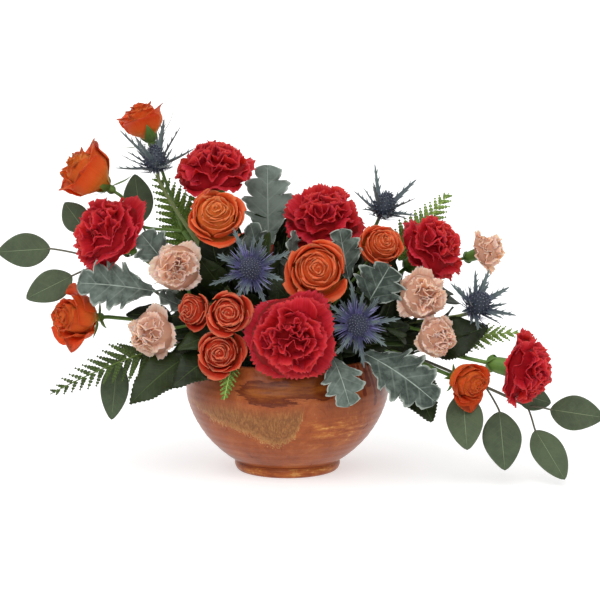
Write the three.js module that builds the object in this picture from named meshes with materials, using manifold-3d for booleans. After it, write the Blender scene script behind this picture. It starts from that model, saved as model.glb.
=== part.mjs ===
// A round-the-table flower centrepiece: a glazed stoneware bowl holds wet floral foam, and roses,
// carnations, sea hollies and foliage stand in plain holes in the foam.
// Millimetres, +Z up, the viewer at -Y. The origin is the centre of the bowl's flat foot.
import * as THREE from 'three';
import { mergeVertices } from 'three/addons/utils/BufferGeometryUtils.js';
import Module from 'manifold-3d';

const wasm = await Module();
wasm.setup();

// ---------------------------------------------------------------- driving dimensions

const BOWL_RADIUS = 101.5; // at the widest: an 8 inch bowl
const BOWL_WIDEST_AT = 84;
const BOWL_HEIGHT = 116;
const RIM_RADIUS = 92.5;
const FOOT_RADIUS = 53;
const FOOT_HEIGHT = 10;
const WALL = 6.5;
const FLOOR = 16; // top of the bowl's inner floor
const AROUND_BOWL = 28;

const FOAM_TOP = 134;
const FOAM_TOP_RADIUS = 66;
const ROOT_DEPTH = 22; // how far a stem goes into the foam
const FIT = 0.35; // clearance between two pieces that touch
const HOLE_FIT = 0.7; // how much wider a hole in the foam is than its stem, all round

const BLADE = 0.8; // thickness of leaves and petals
const SLIVER = 0.12; // shorter features than this are merged away after a join

const COLOURS = {
  bowl: { color: 0xa8603a, roughness: 0.3 },
  foam: { color: 0x2f4f35, roughness: 0.95 },
  rose: { color: 0xd9602c, roughness: 0.6 },
  sprayRose: { color: 0xc9482a, roughness: 0.6 },
  carnation: { color: 0xc3202f, roughness: 0.65 },
  miniCarnation: { color: 0xeab496, roughness: 0.65 },
  seaHolly: { color: 0x646a92, roughness: 0.7 },
  stem: { color: 0x6d8c4a, roughness: 0.6 },
  dustyMiller: { color: 0x9aaba2, roughness: 0.9 },
  eucalyptus: { color: 0x5f7256, roughness: 0.7 },
  fern: { color: 0x4f7d31, roughness: 0.6 },
  salal: { color: 0x2c4224, roughness: 0.45 },
};

// ---------------------------------------------------------------- small geometry helpers

const vec = (x, y, z) => new THREE.Vector3(x, y, z);
const vecs = (list) => list.map((p) => vec(...p));
const odd = (i) => Math.abs(i) % 2 === 1;

// A closed geometry as a manifold-3d solid.
function toSolid(geometry) {
  const bare = new THREE.BufferGeometry();
  bare.setAttribute('position', geometry.getAttribute('position'));
  if (geometry.index) bare.setIndex(geometry.index);
  const merged = mergeVertices(bare, 1e-3);
  const corners = merged.index.array;
  const faces = [];
  for (let i = 0; i < corners.length; i += 3) {
    const [a, b, c] = corners.slice(i, i + 3);
    if (a !== b && b !== c && a !== c) faces.push(a, b, c);
  }
  return new wasm.Manifold(new wasm.Mesh({
    numProp: 3,
    vertProperties: merged.attributes.position.array,
    triVerts: new Uint32Array(faces),
  }));
}

function toGeometry(solid) {
  const mesh = solid.getMesh();
  const geometry = new THREE.BufferGeometry();
  geometry.setAttribute('position', new THREE.BufferAttribute(mesh.vertProperties, mesh.numProp));
  geometry.setIndex(new THREE.BufferAttribute(mesh.triVerts, 1));
  geometry.computeVertexNormals();
  return geometry;
}

function solidFrom(points, faces) {
  const geometry = new THREE.BufferGeometry();
  geometry.setAttribute('position', new THREE.Float32BufferAttribute(points, 3));
  geometry.setIndex(faces);
  return toSolid(geometry);
}

const unite = (solids) => wasm.Manifold.union(solids);

// A closed surface wound round the Z axis, from a pole at height bottom through the rings to a pole
// at height top. A ring gives each column's [angle, radius, height]. It may fold back inside the
// ring before it, as the petals of a flower do.
function wound(bottom, rings, top, columns) {
  const points = [0, 0, bottom];
  for (const ring of rings) {
    for (let i = 0; i < columns; i += 1) {
      const [angle, r, z] = ring(i);
      points.push(r * Math.cos(angle), r * Math.sin(angle), z);
    }
  }
  points.push(0, 0, top);
  const id = (k, i) => 1 + k * columns + (i % columns);
  const last = rings.length - 1;
  const faces = [];
  for (let i = 0; i < columns; i += 1) {
    faces.push(0, id(0, i + 1), id(0, i));
    for (let k = 0; k < last; k += 1) {
      faces.push(id(k, i), id(k, i + 1), id(k + 1, i + 1), id(k, i), id(k + 1, i + 1), id(k + 1, i));
    }
    faces.push(id(last, i), id(last, i + 1), id(last + 1, 0));
  }
  return solidFrom(points, faces);
}

// A plain ring for wound.
const circle = (r, z, columns) => (i) => [(2 * Math.PI * i) / columns, r, z];

// A closed thin strip. edge(side, v) is its left (-1) or right (+1) edge at v, from 0 to 1. Both
// faces are split into the same triangles.
function strip(edge, up, stations, thickness) {
  const points = [];
  for (let j = 0; j <= stations; j += 1) {
    for (const side of [-1, 1]) {
      const p = edge(side, j / stations);
      for (const face of [0.5, -0.5]) {
        const q = p.clone().addScaledVector(up(j / stations), face * thickness);
        points.push(q.x, q.y, q.z);
      }
    }
  }
  const faces = [];
  const quad = (a, b, c, d) => faces.push(a, b, c, a, c, d);
  for (let j = 0; j < stations; j += 1) {
    const [lt, lb, rt, rb] = [0, 1, 2, 3].map((k) => 4 * j + k);
    quad(lt, rt, rt + 4, lt + 4);
    faces.push(lb, rb + 4, rb, lb, lb + 4, rb + 4);
    quad(rt, rb, rb + 4, rt + 4);
    quad(lb, lt, lt + 4, lb + 4);
  }
  quad(0, 1, 3, 2);
  const end = 4 * stations;
  quad(end, end + 2, end + 3, end + 1);
  return solidFrom(points, faces);
}

// A round bar along a smooth curve through the points.
function bar(points, radius, steps, sides = 5) {
  const corners = [];
  for (let i = 0; i < sides; i += 1) {
    const angle = (2 * Math.PI * i) / sides;
    corners.push(new THREE.Vector2(radius * Math.cos(angle), radius * Math.sin(angle)));
  }
  return toSolid(new THREE.ExtrudeGeometry(new THREE.Shape(corners), {
    steps,
    bevelEnabled: false,
    extrudePath: new THREE.CatmullRomCurve3(points, false, 'centripetal'),
  }));
}

// A turned solid from its profile, [radius, height] pairs that start and end on the axis.
function turned(profile, around) {
  const points = profile.map(([r, z]) => new THREE.Vector2(r, z));
  return toSolid(new THREE.LatheGeometry(points, around).rotateX(Math.PI / 2));
}

// The matrix that stands a local +Z shape at a place, facing a direction.
function standing(place, faces) {
  const turn = new THREE.Quaternion().setFromUnitVectors(vec(0, 0, 1), faces);
  return new THREE.Matrix4().compose(place, turn, vec(1, 1, 1));
}

// ---------------------------------------------------------------- bowl and foam

// The bowl's outer wall from the foot to the rim.
const bowlWall = new THREE.SplineCurve([
  new THREE.Vector2(FOOT_RADIUS, FOOT_HEIGHT),
  new THREE.Vector2(76, 31),
  new THREE.Vector2(94.5, 57),
  new THREE.Vector2(BOWL_RADIUS, BOWL_WIDEST_AT),
  new THREE.Vector2(RIM_RADIUS, BOWL_HEIGHT),
]);

// The inner wall at t, from the foot to the rim: the outer wall moved in along its normal.
function innerWall(t) {
  const out = bowlWall.getPoint(t);
  const along = bowlWall.getTangent(t);
  return [out.x - WALL * along.y, out.y + WALL * along.x];
}

function bowl() {
  const foot = [[0, 0], [FOOT_RADIUS - 4, 0], [FOOT_RADIUS - 1, 2.5]];
  const outside = bowlWall.getPoints(8).map((p) => [p.x, p.y]);
  const lip = [[RIM_RADIUS - WALL / 2, BOWL_HEIGHT + 1.5]];
  const inside = [1, 0.75, 0.5, 0.25].map(innerWall);
  return turned([...foot, ...outside, ...lip, ...inside, [0, FLOOR]], AROUND_BOWL);
}

// A block of foam cut round to wedge into the bowl, standing above the rim. It has half the bowl's
// sides, so its corners meet the wall and its flats stand off it.
function foam() {
  const clear = ([r, z]) => [r - 1.5 * FIT, z + 0.7 * FIT];
  return turned([
    [0, FLOOR + FIT],
    ...[0.25, 0.5, 0.75].map((t) => clear(innerWall(t))),
    [78, BOWL_HEIGHT - 4],
    [FOAM_TOP_RADIUS, FOAM_TOP],
    [0, FOAM_TOP],
  ], AROUND_BOWL / 2);
}

// ---------------------------------------------------------------- blooms, in their own frame
// A bloom's base, where the petals leave the calyx, is at its origin, and it faces +Z.

// A rose's layers of five petals. A petal takes three columns: its tucked edge, its point and the
// edge that lies over the next petal. Each layer is turned half a petal from the one outside it.
function petalRing(layer, r, z, droop) {
  const fifth = (2 * Math.PI) / 5;
  return (i) => {
    const role = ((i + layer) % 3) - 1; // -1 tucked edge, 0 point, +1 overlying edge
    const petal = Math.floor((i + layer) / 3);
    const angle = fifth * (petal - layer / 2) + 0.46 * fifth * role;
    const out = [0.84, 1, 0.94][role + 1];
    return [angle, r * out, z - (role === 0 ? 0 : droop)];
  };
}

function roseBloom({ across, high, open = 1, layers = 3 }) {
  const radius = across / 2;
  const columns = 15;
  const lipRadius = [1, 0.42 + 0.24 * open, 0.26 + 0.1 * open].map((share) => share * radius);
  const lipHeight = [0.92 - 0.32 * open, 1 - 0.16 * open, 0.98].map((share) => share * high);
  const rings = [petalRing(0, (0.5 + 0.22 * open) * radius, (0.3 + 0.06 * open) * high, 0)];
  for (let k = 0; k < layers; k += 1) {
    const droop = 0.1 * high; // a petal's sides are lower than its point
    rings.push(petalRing(k, lipRadius[k], lipHeight[k], droop));
    rings.push(petalRing(k, lipRadius[k] - 0.6, lipHeight[k] + 1.1, droop));
    if (k < layers - 1) {
      const depth = (0.3 - (k === 0 ? 0.16 * open : 0)) * high;
      rings.push(petalRing(k + 1, 0.74 * lipRadius[k + 1], lipHeight[k] - depth, 0));
    }
  }
  return wound(FIT, rings, 0.7 * high, columns);
}

// A carnation's ruffles: rings whose columns stand out and up in turn, cut into teeth at the rim.
function ruffleRing(columns, layer, r, z, wave) {
  return (i) => {
    const side = odd(i + layer) ? 1 : -1;
    const angle = (2 * Math.PI * (i + 0.3 * layer)) / columns;
    const petal = Math.cos(5 * angle + layer);
    return [angle, r * (1 + 0.05 * side + 0.05 * petal), z + wave * (side + 0.6 * petal)];
  };
}

function carnationBloom({ across, high, small = false }) {
  const radius = across / 2;
  const columns = small ? 14 : 16;
  const lips = small ? [[0.94, 0.42], [0.56, 0.86]] : [[0.94, 0.38], [0.76, 0.68], [0.44, 0.92]];
  const valleys = small ? [[0.42, 0.38]] : [[0.56, 0.34], [0.32, 0.52]];
  const rings = [];
  lips.forEach(([out, top], k) => {
    const wave = (0.08 - 0.015 * k) * radius;
    rings.push(ruffleRing(columns, k, out * radius, top * high, wave));
    rings.push(ruffleRing(columns, k, out * radius - 0.5, top * high + 1.2, wave));
    if (valleys[k]) {
      const [inner, floor] = valleys[k];
      rings.push(ruffleRing(columns, k + 1, inner * radius, floor * high, 0));
    }
  });
  return wound(FIT, rings, 0.76 * high, columns);
}

// The cone of florets: an egg raised into rows of points.
function seaHollyHead(radius, high) {
  const rows = 6;
  const columns = 8;
  const rings = [];
  for (let k = 0; k < rows; k += 1) {
    rings.push((i) => {
      const t = (k + 0.5) / rows;
      const point = odd(i + k) ? 1.12 : 0.9;
      return [
        (2 * Math.PI * i) / columns,
        radius * Math.sin(Math.PI * t ** 0.8) ** 0.8 * point,
        high * t,
      ];
    });
  }
  return wound(0, rings, high, columns);
}

// A stiff bract under the cone: a narrow blade that widens to a spine on either side, then a point.
function seaHollyBract(reach, turn, rise) {
  const halves = [2.4, 1.6, 5.2, 0.6];
  const out = vec(Math.cos(turn), Math.sin(turn), rise);
  const side = vec(Math.sin(turn), -Math.cos(turn), 0);
  const up = side.clone().cross(out).normalize();
  const edge = (hand, v) => {
    const k = Math.round(v * 3);
    const r = 4 + (reach - 4) * (k === 2 ? 0.72 : v); // the spines sweep towards the point
    return out.clone().multiplyScalar(r).addScaledVector(side, hand * halves[k]).setZ(2 + rise * r);
  };
  return strip(edge, () => up, 3, BLADE);
}

// The bracts take turns between two kinds, each given as [reach, rise per unit of reach].
function seaHollyBloom({ high, head, bracts, turn = 0 }) {
  const parts = [seaHollyHead(head / 2, high)];
  for (let i = 0; i < 8; i += 1) {
    const [reach, rise] = bracts[i % 2];
    parts.push(seaHollyBract(reach, turn + (Math.PI * i) / 4, rise));
  }
  return unite(parts);
}

// A rose's hip, and its five sepals laid out below the petals. A spray rose's are too small.
function roseCalyx({ calyx, across, layers }) {
  const columns = 10;
  const hip = 0.5 * calyx;
  if (layers === 2) return turned([[0, -calyx], [0.5 * hip, -calyx], [hip, -0.4 * calyx], [0, 0]], 6);
  const star = (z) => (i) => [
    (2 * Math.PI * i) / columns,
    odd(i) ? 0.8 * hip : 0.3 * across,
    z - (odd(i) ? 0 : 2.4),
  ];
  return wound(-calyx, [
    circle(0.5 * hip, -calyx, columns),
    circle(hip, -0.6 * calyx, columns),
    star(-1.7),
    star(-0.8),
    circle(0.7 * hip, 0, columns),
  ], 0, columns);
}

// A carnation's long calyx tube.
function carnationCalyx({ calyx }) {
  const width = 0.25 * calyx;
  return turned([
    [0, -calyx], [0.55 * width, -calyx], [width, -0.7 * calyx], [1.1 * width, -1], [0, 0],
  ], 6);
}

// ---------------------------------------------------------------- leaves

// A blade from base to tip whose upper side looks towards face. half(v) is its half width at v,
// sweep(v) carries the edge towards the tip, and arch lifts its middle, as a share of its length.
function blade({ base, tip, face, arch = 0 }, stations, half, sweep = () => 0) {
  const from = vec(...base);
  const along = vec(...tip).sub(from);
  const side = along.clone().cross(vec(...face)).normalize();
  const up = side.clone().cross(along).normalize();
  const edge = (hand, v) => {
    const t = v + sweep(v);
    const lift = arch * along.length() * 4 * t * (1 - t);
    return from.clone().addScaledVector(along, t).addScaledVector(side, hand * half(v))
      .addScaledVector(up, lift);
  };
  const tilt = (v) => up.clone().multiplyScalar(along.length())
    .addScaledVector(along, -arch * 4 * (1 - 2 * v)).normalize();
  return strip(edge, tilt, stations, BLADE);
}

// Eucalyptus: a plain oval.
const ovalLeaf = (leaf) => blade(leaf, 4, (v) => (
  0.9 + 0.5 * leaf.width * Math.sin(Math.PI * v ** 0.9) ** 0.8 * (1 - 0.12 * v)
));

// Salal: a broad base, then a long taper to a point.
const pointedLeaf = (leaf) => blade(leaf, 4, (v) => (
  0.9 + 0.5 * leaf.width * Math.sin(Math.PI * v ** 0.72) ** 0.85
));

// Dusty miller: lobes on both sides, cut towards the rib and swept to the tip.
function lobedLeaf(leaf) {
  const stations = leaf.lobes * 2 + 1;
  const isLobe = (v) => odd(Math.round(v * stations)) && v < 0.99;
  const half = (v) => {
    const outline = Math.min(1, 0.4 + 1.5 * v) * (1 - 0.5 * v ** 3);
    return v > 0.99 ? 2.5 : 0.5 * leaf.width * outline * (isLobe(v) ? 1 : 0.5);
  };
  return blade(leaf, stations, half, (v) => (isLobe(v) ? 0.45 / stations : 0));
}

// Leatherleaf fern: one thin arched blade, its leaflets cut to the rib and swept to the tip.
function frond(leaf) {
  const stations = leaf.leaflets * 2;
  const isLeaflet = (v) => odd(Math.round(v * stations));
  const half = (v) => {
    const outline = 0.5 * leaf.width * (1 - v) ** 0.75 * Math.min(1, 0.45 + 2 * v);
    return 0.9 + (isLeaflet(v) ? outline : 0);
  };
  return blade(leaf, stations, half, (v) => (isLeaflet(v) ? 0.8 / stations : 0));
}

// ---------------------------------------------------------------- what stands where
// at is a bloom's centre, faces the way it looks, across and high its size, root its stem's place
// on the foam's top, and via the points that bend its stem clear of its neighbours.

const ROSES = [
  {
    name: 'rose_crown', at: [-143, 20, 348], faces: [-0.33, -0.1, 0.93], across: 50, high: 42,
    open: 0.4,
  },
  {
    name: 'rose_upper_left', at: [-197, -15, 300], faces: [-0.78, -0.2, 0.58], across: 58,
    high: 50, open: 0.5,
  },
  {
    name: 'rose_high_centre', at: [-69, -54, 262], faces: [0.03, -0.8, 0.6], across: 58, high: 38,
    root: [-22, -10],
  },
  { name: 'rose_heart', at: [29, -84, 213], faces: [0, -0.96, 0.27], across: 62, high: 40 },
  { name: 'rose_high_right', at: [92, -48, 232], faces: [0.3, -0.78, 0.5], across: 46, high: 34 },
  {
    name: 'rose_left', at: [-206, -46, 161], faces: [-0.75, -0.62, 0.1], across: 56, high: 46,
    open: 0.5, root: [-46, -16],
  },
  {
    name: 'rose_low_right', at: [175, -85, 104], faces: [0.55, -0.8, -0.08], across: 44, high: 38,
    open: 0.5, root: [42, -38], via: [[96, -56, 131]],
  },
  {
    name: 'rose_back', at: [62, 98, 196], faces: [0.25, 0.9, 0.35], across: 54, high: 38,
    root: [18, 32],
  },
  {
    name: 'rose_spray_left', at: [-90, -80, 173], faces: [-0.55, -0.8, 0.15], across: 36,
    high: 28, layers: 2,
  },
  {
    name: 'rose_spray_top', at: [-56, -106, 175], faces: [0.05, -0.98, 0.15], across: 44,
    high: 30, layers: 2,
  },
  {
    name: 'rose_spray_low', at: [-64, -96, 135], faces: [-0.05, -0.98, 0.08], across: 48,
    high: 30, layers: 2,
  },
];

const CARNATIONS = [
  {
    name: 'carnation_left', at: [-179, -35, 246], faces: [-0.6, -0.55, 0.55], across: 76,
    high: 40, root: [-42, -4],
  },
  {
    name: 'carnation_top', at: [-73, 0, 305], faces: [-0.1, -0.25, 0.95], across: 78, high: 38,
    root: [-20, 10],
  },
  {
    name: 'carnation_centre', at: [36, -10, 257], faces: [0.05, -0.5, 0.85], across: 84, high: 42,
    root: [8, 8],
  },
  {
    name: 'carnation_right', at: [146, -20, 229], faces: [0.65, -0.45, 0.6], across: 78, high: 40,
    root: [34, 2],
  },
  {
    name: 'carnation_heart', at: [5, -114, 152], faces: [0.05, -0.97, 0.1], across: 90, high: 40,
    root: [4, -36],
  },
  {
    name: 'carnation_low_right', at: [235, -65, 110], faces: [0.9, -0.35, -0.15], across: 76,
    high: 40, root: [50, -24], via: [[100, -36, 134]],
  },
  {
    name: 'carnation_back', at: [-44, 96, 200], faces: [-0.2, 0.85, 0.5], across: 78, high: 40,
    root: [-14, 34],
  },
];

const MINI_CARNATIONS = [
  {
    name: 'mini_carnation_left', at: [-107, -75, 215], faces: [-0.1, -0.95, 0.25], across: 52,
    high: 30,
  },
  {
    name: 'mini_carnation_low_left', at: [-134, -75, 149], faces: [-0.28, -0.93, 0], across: 52,
    high: 30,
  },
  {
    name: 'mini_carnation_right', at: [133, -77, 187], faces: [0.35, -0.9, 0.2], across: 52,
    high: 30,
  },
  {
    name: 'mini_carnation_low_right', at: [147, -82, 146], faces: [0.4, -0.88, -0.05], across: 48,
    high: 28,
  },
  {
    name: 'mini_carnation_far_right', at: [202, 5, 221], faces: [0.85, -0.35, 0.35], across: 46,
    high: 26,
  },
];

const SEA_HOLLIES = [
  {
    name: 'sea_holly_upper_left', at: [-130, -8, 313], faces: [-0.15, -0.05, 0.98], high: 28,
    head: 21, bracts: [[38, 0.3], [24, 1.2]], turn: 0.4, root: [-32, -2],
  },
  {
    name: 'sea_holly_centre', at: [-35, -86, 215], faces: [0, -0.95, 0.3], high: 24, head: 22,
    bracts: [[38, 0.24], [28, 0.5]], turn: 0.4, root: [-8, -20],
  },
  {
    name: 'sea_holly_front_right', at: [68, -94, 161], faces: [0.05, -0.97, 0.1], high: 24,
    head: 22, bracts: [[40, 0.24], [30, 0.5]], root: [24, -34],
  },
  {
    name: 'sea_holly_upper_right', at: [97, 5, 266], faces: [0.35, -0.3, 0.88], high: 28,
    head: 22, bracts: [[34, 0.4], [32, 1.25]], root: [22, 10],
  },
  {
    name: 'sea_holly_right', at: [188, -52, 176], faces: [0.4, -0.6, 0.5], high: 28, head: 22,
    bracts: [[38, 0.5], [28, 1.1]], root: [48, -8],
  },
];

// Branching stems that carry several blooms.
const BRANCHED_STEMS = [
  {
    name: 'rose_stem_upper_left', root: [-32, 16], fork: [-104, 4, 240],
    blooms: ['rose_crown', 'rose_upper_left'],
  },
  {
    name: 'rose_stem_centre', root: [18, -14], fork: [44, -30, 168],
    blooms: ['rose_heart', 'rose_high_right'],
  },
  {
    name: 'rose_stem_spray', root: [-26, -38], fork: [-46, -54, 150],
    blooms: ['rose_spray_left', 'rose_spray_top', 'rose_spray_low'],
  },
  {
    name: 'mini_carnation_stem_left', root: [-38, -30], fork: [-86, -46, 154],
    blooms: ['mini_carnation_left', 'mini_carnation_low_left'],
  },
  {
    name: 'mini_carnation_stem_right', root: [38, -20], fork: [92, -30, 156],
    blooms: ['mini_carnation_right', 'mini_carnation_low_right', 'mini_carnation_far_right'],
  },
];

// Leafy twigs. Each leaf's stalk leaves the twig at the point that from counts, the last one if
// it isn't given.
const DUSTY_MILLER = [
  {
    name: 'dusty_miller_centre', root: [-6, 0], twig: [[-12, -6, 170], [-18, 8, 212]],
    leaves: [
      { base: [-19, 14, 222], tip: [-20, 34, 303], face: [0, -1, 0.1], width: 62, lobes: 5 },
      {
        base: [-22, -22, 200], tip: [-36, -38, 252], face: [0.3, -1, 0.1], width: 30, lobes: 4,
        from: 1,
      },
      { base: [2, -38, 200], tip: [6, -46, 246], face: [1, -0.6, 0], width: 26, lobes: 4, from: 1 },
    ],
  },
  {
    name: 'dusty_miller_left', root: [-36, -14], twig: [[-78, -24, 166], [-112, -36, 186]],
    leaves: [
      {
        base: [-130, -48, 187], tip: [-203, -62, 197], face: [-0.1, -0.85, 0.5], width: 46,
        lobes: 5, arch: 0.05,
      },
      { base: [-118, -40, 212], tip: [-142, -45, 243], face: [0, -1, 0.1], width: 38, lobes: 3 },
      {
        base: [-96, -42, 168], tip: [-124, -62, 184], face: [0.2, -0.7, 0.7], width: 24, lobes: 3,
        from: 1,
      },
    ],
  },
  {
    name: 'dusty_miller_right', root: [34, -44], twig: [[62, -60, 142], [74, -62, 168]],
    leaves: [
      { base: [60, -58, 200], tip: [51, -58, 249], face: [0.1, -1, 0.1], width: 36, lobes: 4 },
      { base: [76, -68, 174], tip: [99, -78, 216], face: [0.2, -1, 0.3], width: 46, lobes: 4 },
      {
        base: [44, -86, 128], tip: [60, -118, 87], face: [0.1, -0.9, 0.4], width: 38, lobes: 4,
        from: 1, arch: 0.12,
      },
      {
        base: [74, -84, 132], tip: [142, -112, 89], face: [0.1, -0.8, 0.6], width: 56, lobes: 5,
        from: 1, arch: 0.08,
      },
    ],
  },
];

const EUCALYPTUS = [
  {
    name: 'eucalyptus_left', root: [-56, 2], twig: [[-100, 0, 156], [-140, -4, 186], [-180, -2, 208]],
    leaves: [
      { base: [-235, -10, 224], tip: [-286, -20, 222], face: [0, -0.9, 0.4], width: 37 },
      { base: [-213, -18, 198], tip: [-257, -30, 177], face: [0, -0.9, 0.4], width: 34 },
      { base: [-201, 2, 240], tip: [-222, 8, 268], face: [-0.3, -1, 0.1], width: 30 },
      { base: [-146, 8, 248], tip: [-152, 12, 296], face: [0.3, -1, 0], width: 30, from: 2 },
      { base: [-167, -45, 116], tip: [-172, -62, 62], face: [0.1, -1, 0.1], width: 29, from: 1 },
    ],
  },
  {
    name: 'eucalyptus_right', root: [58, -16], twig: [[110, -28, 124], [196, -38, 90], [238, -36, 70]],
    leaves: [
      { base: [171, -68, 90], tip: [174, -100, 40], face: [0, -0.9, 0.4], width: 38, from: 2 },
      { base: [208, -62, 70], tip: [211, -96, 19], face: [0, -0.9, 0.4], width: 40, from: 2 },
      { base: [244, -56, 50], tip: [270, -88, 8], face: [0.2, -0.9, 0.4], width: 35 },
      { base: [260, -42, 68], tip: [310, -62, 64], face: [0, -0.9, 0.4], width: 37 },
      { base: [226, -36, 84], tip: [262, -30, 72], face: [0, -0.9, 0.4], width: 28 },
    ],
  },
];

const FERNS = [
  {
    name: 'fern_left', root: [-58, -24], twig: [[-92, -42, 134], [-112, -50, 134]],
    leaves: [
      { base: [-116, -50, 134], tip: [-230, -76, 90], face: [0, -0.8, 0.6],
        width: 84, leaflets: 11, arch: 0.06 },
    ],
  },
  {
    name: 'fern_upper_left', root: [-44, 30], twig: [[-72, 32, 190], [-79, 31, 200]],
    leaves: [
      { base: [-80, 31, 204], tip: [-132, 38, 298], face: [0.2, -1, 0], width: 66, leaflets: 10, arch: 0.04 },
    ],
  },
  {
    name: 'fern_upper_right', root: [36, 16], twig: [[84, 28, 180], [106, 30, 203]],
    leaves: [
      { base: [108, 30, 206], tip: [163, 34, 275], face: [0.2, -1, 0.2],
        width: 62, leaflets: 10, arch: 0.05 },
    ],
  },
  {
    name: 'fern_low_right', root: [60, 0], twig: [[104, -8, 134], [137, -13, 129]],
    leaves: [
      { base: [140, -14, 128], tip: [231, -32, 143], face: [0, -0.6, 0.8],
        width: 64, leaflets: 10, arch: 0.04 },
    ],
  },
  {
    name: 'fern_rim', root: [-40, -51], twig: [[-48, -70, 132], [-52, -77, 128]],
    leaves: [
      { base: [-52, -78, 127], tip: [-60, -108, 91], face: [0, -1, 0.6], width: 24, leaflets: 6 },
    ],
  },
];

const SALAL = [
  {
    name: 'salal_left', root: [-42, -44], twig: [[-66, -54, 132], [-92, -58, 134]],
    leaves: [
      { base: [-99, -67, 125], tip: [-151, -95, 84], face: [0, -0.7, 0.7], width: 42, arch: 0.06 },
      {
        base: [-66, -66, 130], tip: [-110, -102, 102], face: [0.1, -0.7, 0.7], width: 38,
        arch: 0.06, from: 1,
      },
    ],
  },
  {
    name: 'salal_right', root: [55, -34], twig: [[86, -37, 131], [116, -42, 121]],
    leaves: [
      { base: [116, -70, 112], tip: [140, -100, 68], face: [0, -0.8, 0.6], width: 40, arch: 0.05 },
      { base: [140, -46, 130], tip: [197, -46, 152], face: [0.1, -0.8, 0.5], width: 40 },
    ],
  },
  {
    name: 'salal_back_left', root: [-34, 36], twig: [[-56, 56, 140], [-70, 66, 152]],
    leaves: [
      { base: [-76, 70, 156], tip: [-130, 96, 176], face: [-0.2, 0.4, 0.9], width: 44, arch: 0.08 },
      { base: [-60, 66, 148], tip: [-96, 116, 128], face: [-0.2, 0.5, 0.8], width: 40, arch: 0.1 },
      { base: [-48, 50, 166], tip: [-42, 44, 234], face: [0, -1, 0.2], width: 42 },
    ],
  },
  {
    name: 'salal_back_right', root: [38, 36], twig: [[72, 54, 142], [94, 62, 152]],
    leaves: [
      { base: [100, 66, 154], tip: [154, 90, 164], face: [0.2, 0.4, 0.9], width: 44, arch: 0.08 },
      { base: [84, 64, 146], tip: [118, 112, 126], face: [0.2, 0.5, 0.8], width: 40, arch: 0.1 },
      { base: [44, 46, 160], tip: [50, 44, 224], face: [0, -1, 0.2], width: 46 },
    ],
  },
];

// ---------------------------------------------------------------- assembly

// A bloom with its direction, its base and the matrix that puts it there.
function place(bloom, calyx) {
  const faces = vec(...bloom.faces).normalize();
  const base = vec(...bloom.at).addScaledVector(faces, -bloom.high / 2);
  return { ...bloom, faces, base, calyx, matrix: standing(base, faces).elements };
}

const roses = ROSES.map((b) => place(b, b.layers === 2 ? 6 : 8));
const carnations = CARNATIONS.map((b) => place(b, 22));
const minis = MINI_CARNATIONS.map((b) => place({ ...b, small: true }, 15));
const seaHollies = SEA_HOLLIES.map((b) => place(b, 0));

// The first two points of a stem, which stand upright in the foam.
const rooted = ([x, y]) => [vec(x, y, FOAM_TOP - ROOT_DEPTH), vec(x, y, FOAM_TOP - 2)];

// A stem's points up to a bloom, where it arrives along the bloom's axis.
const arrival = ({ base, faces, calyx, via = [] }) => [
  ...vecs(via),
  base.clone().addScaledVector(faces, -calyx - 9),
  base.clone().addScaledVector(faces, 0.5 - 0.7 * calyx),
];

// What stands in the foam: a stem along the route, its end cut square just above the floor of its
// hole, and the parts it carries.
function standingPiece(name, look, route, radius, steps, parts) {
  const { x, y, z } = route[0];
  const end = toSolid(new THREE.BoxGeometry(12, 12, 4).translate(x, y, z + HOLE_FIT - 2));
  const stem = bar(route, radius, steps).subtract(end);
  return { name, look, solid: unite([stem, ...parts]), hole: bar(route, radius + HOLE_FIT, steps) };
}

function singleStem(bloom, calyx, name) {
  const route = [...rooted(bloom.root), ...arrival(bloom)];
  return standingPiece(name, COLOURS.stem, route, 2, 5, [calyx(bloom).transform(bloom.matrix)]);
}

function branchedStem({ name, root, fork, blooms }, calyx, all) {
  const route = [...rooted(root), vec(...fork)];
  const parts = all.filter((b) => blooms.includes(b.name)).flatMap((bloom) => [
    bar([vec(...fork), ...arrival(bloom)], 1.6, 3),
    calyx(bloom).transform(bloom.matrix),
  ]);
  return standingPiece(name, COLOURS.stem, route, 2, 3, parts);
}

function leafyTwig({ name, root, twig, leaves }, look, makeLeaf) {
  const route = [...rooted(root), ...vecs(twig)];
  const parts = leaves.flatMap((leaf) => {
    const inLeaf = vec(...leaf.base).lerp(vec(...leaf.tip), 0.05);
    const from = vec(...twig[(leaf.from ?? twig.length) - 1]);
    return [bar([from, inLeaf], 1.1, 1, 3), makeLeaf(leaf)];
  });
  return standingPiece(name, look, route, 1.5, route.length + 1, parts);
}

const inFoam = [
  ...roses.filter((b) => b.root).map((b) => singleStem(b, roseCalyx, b.name.replace('rose', 'rose_stem'))),
  ...carnations.map((b) => (
    singleStem(b, carnationCalyx, b.name.replace('carnation', 'carnation_stem'))
  )),
  ...BRANCHED_STEMS.map((s) => (s.name.startsWith('rose')
    ? branchedStem(s, roseCalyx, roses)
    : branchedStem(s, carnationCalyx, minis))),
  ...seaHollies.map((b) => standingPiece(
    b.name, COLOURS.seaHolly, [...rooted(b.root), ...arrival(b)], 1.8, 5,
    [seaHollyBloom(b).transform(b.matrix)],
  )),
  ...DUSTY_MILLER.map((s) => leafyTwig(s, COLOURS.dustyMiller, lobedLeaf)),
  ...EUCALYPTUS.map((s) => leafyTwig(s, COLOURS.eucalyptus, ovalLeaf)),
  ...FERNS.map((s) => leafyTwig(s, COLOURS.fern, frond)),
  ...SALAL.map((s) => leafyTwig(s, COLOURS.salal, pointedLeaf)),
];

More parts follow.
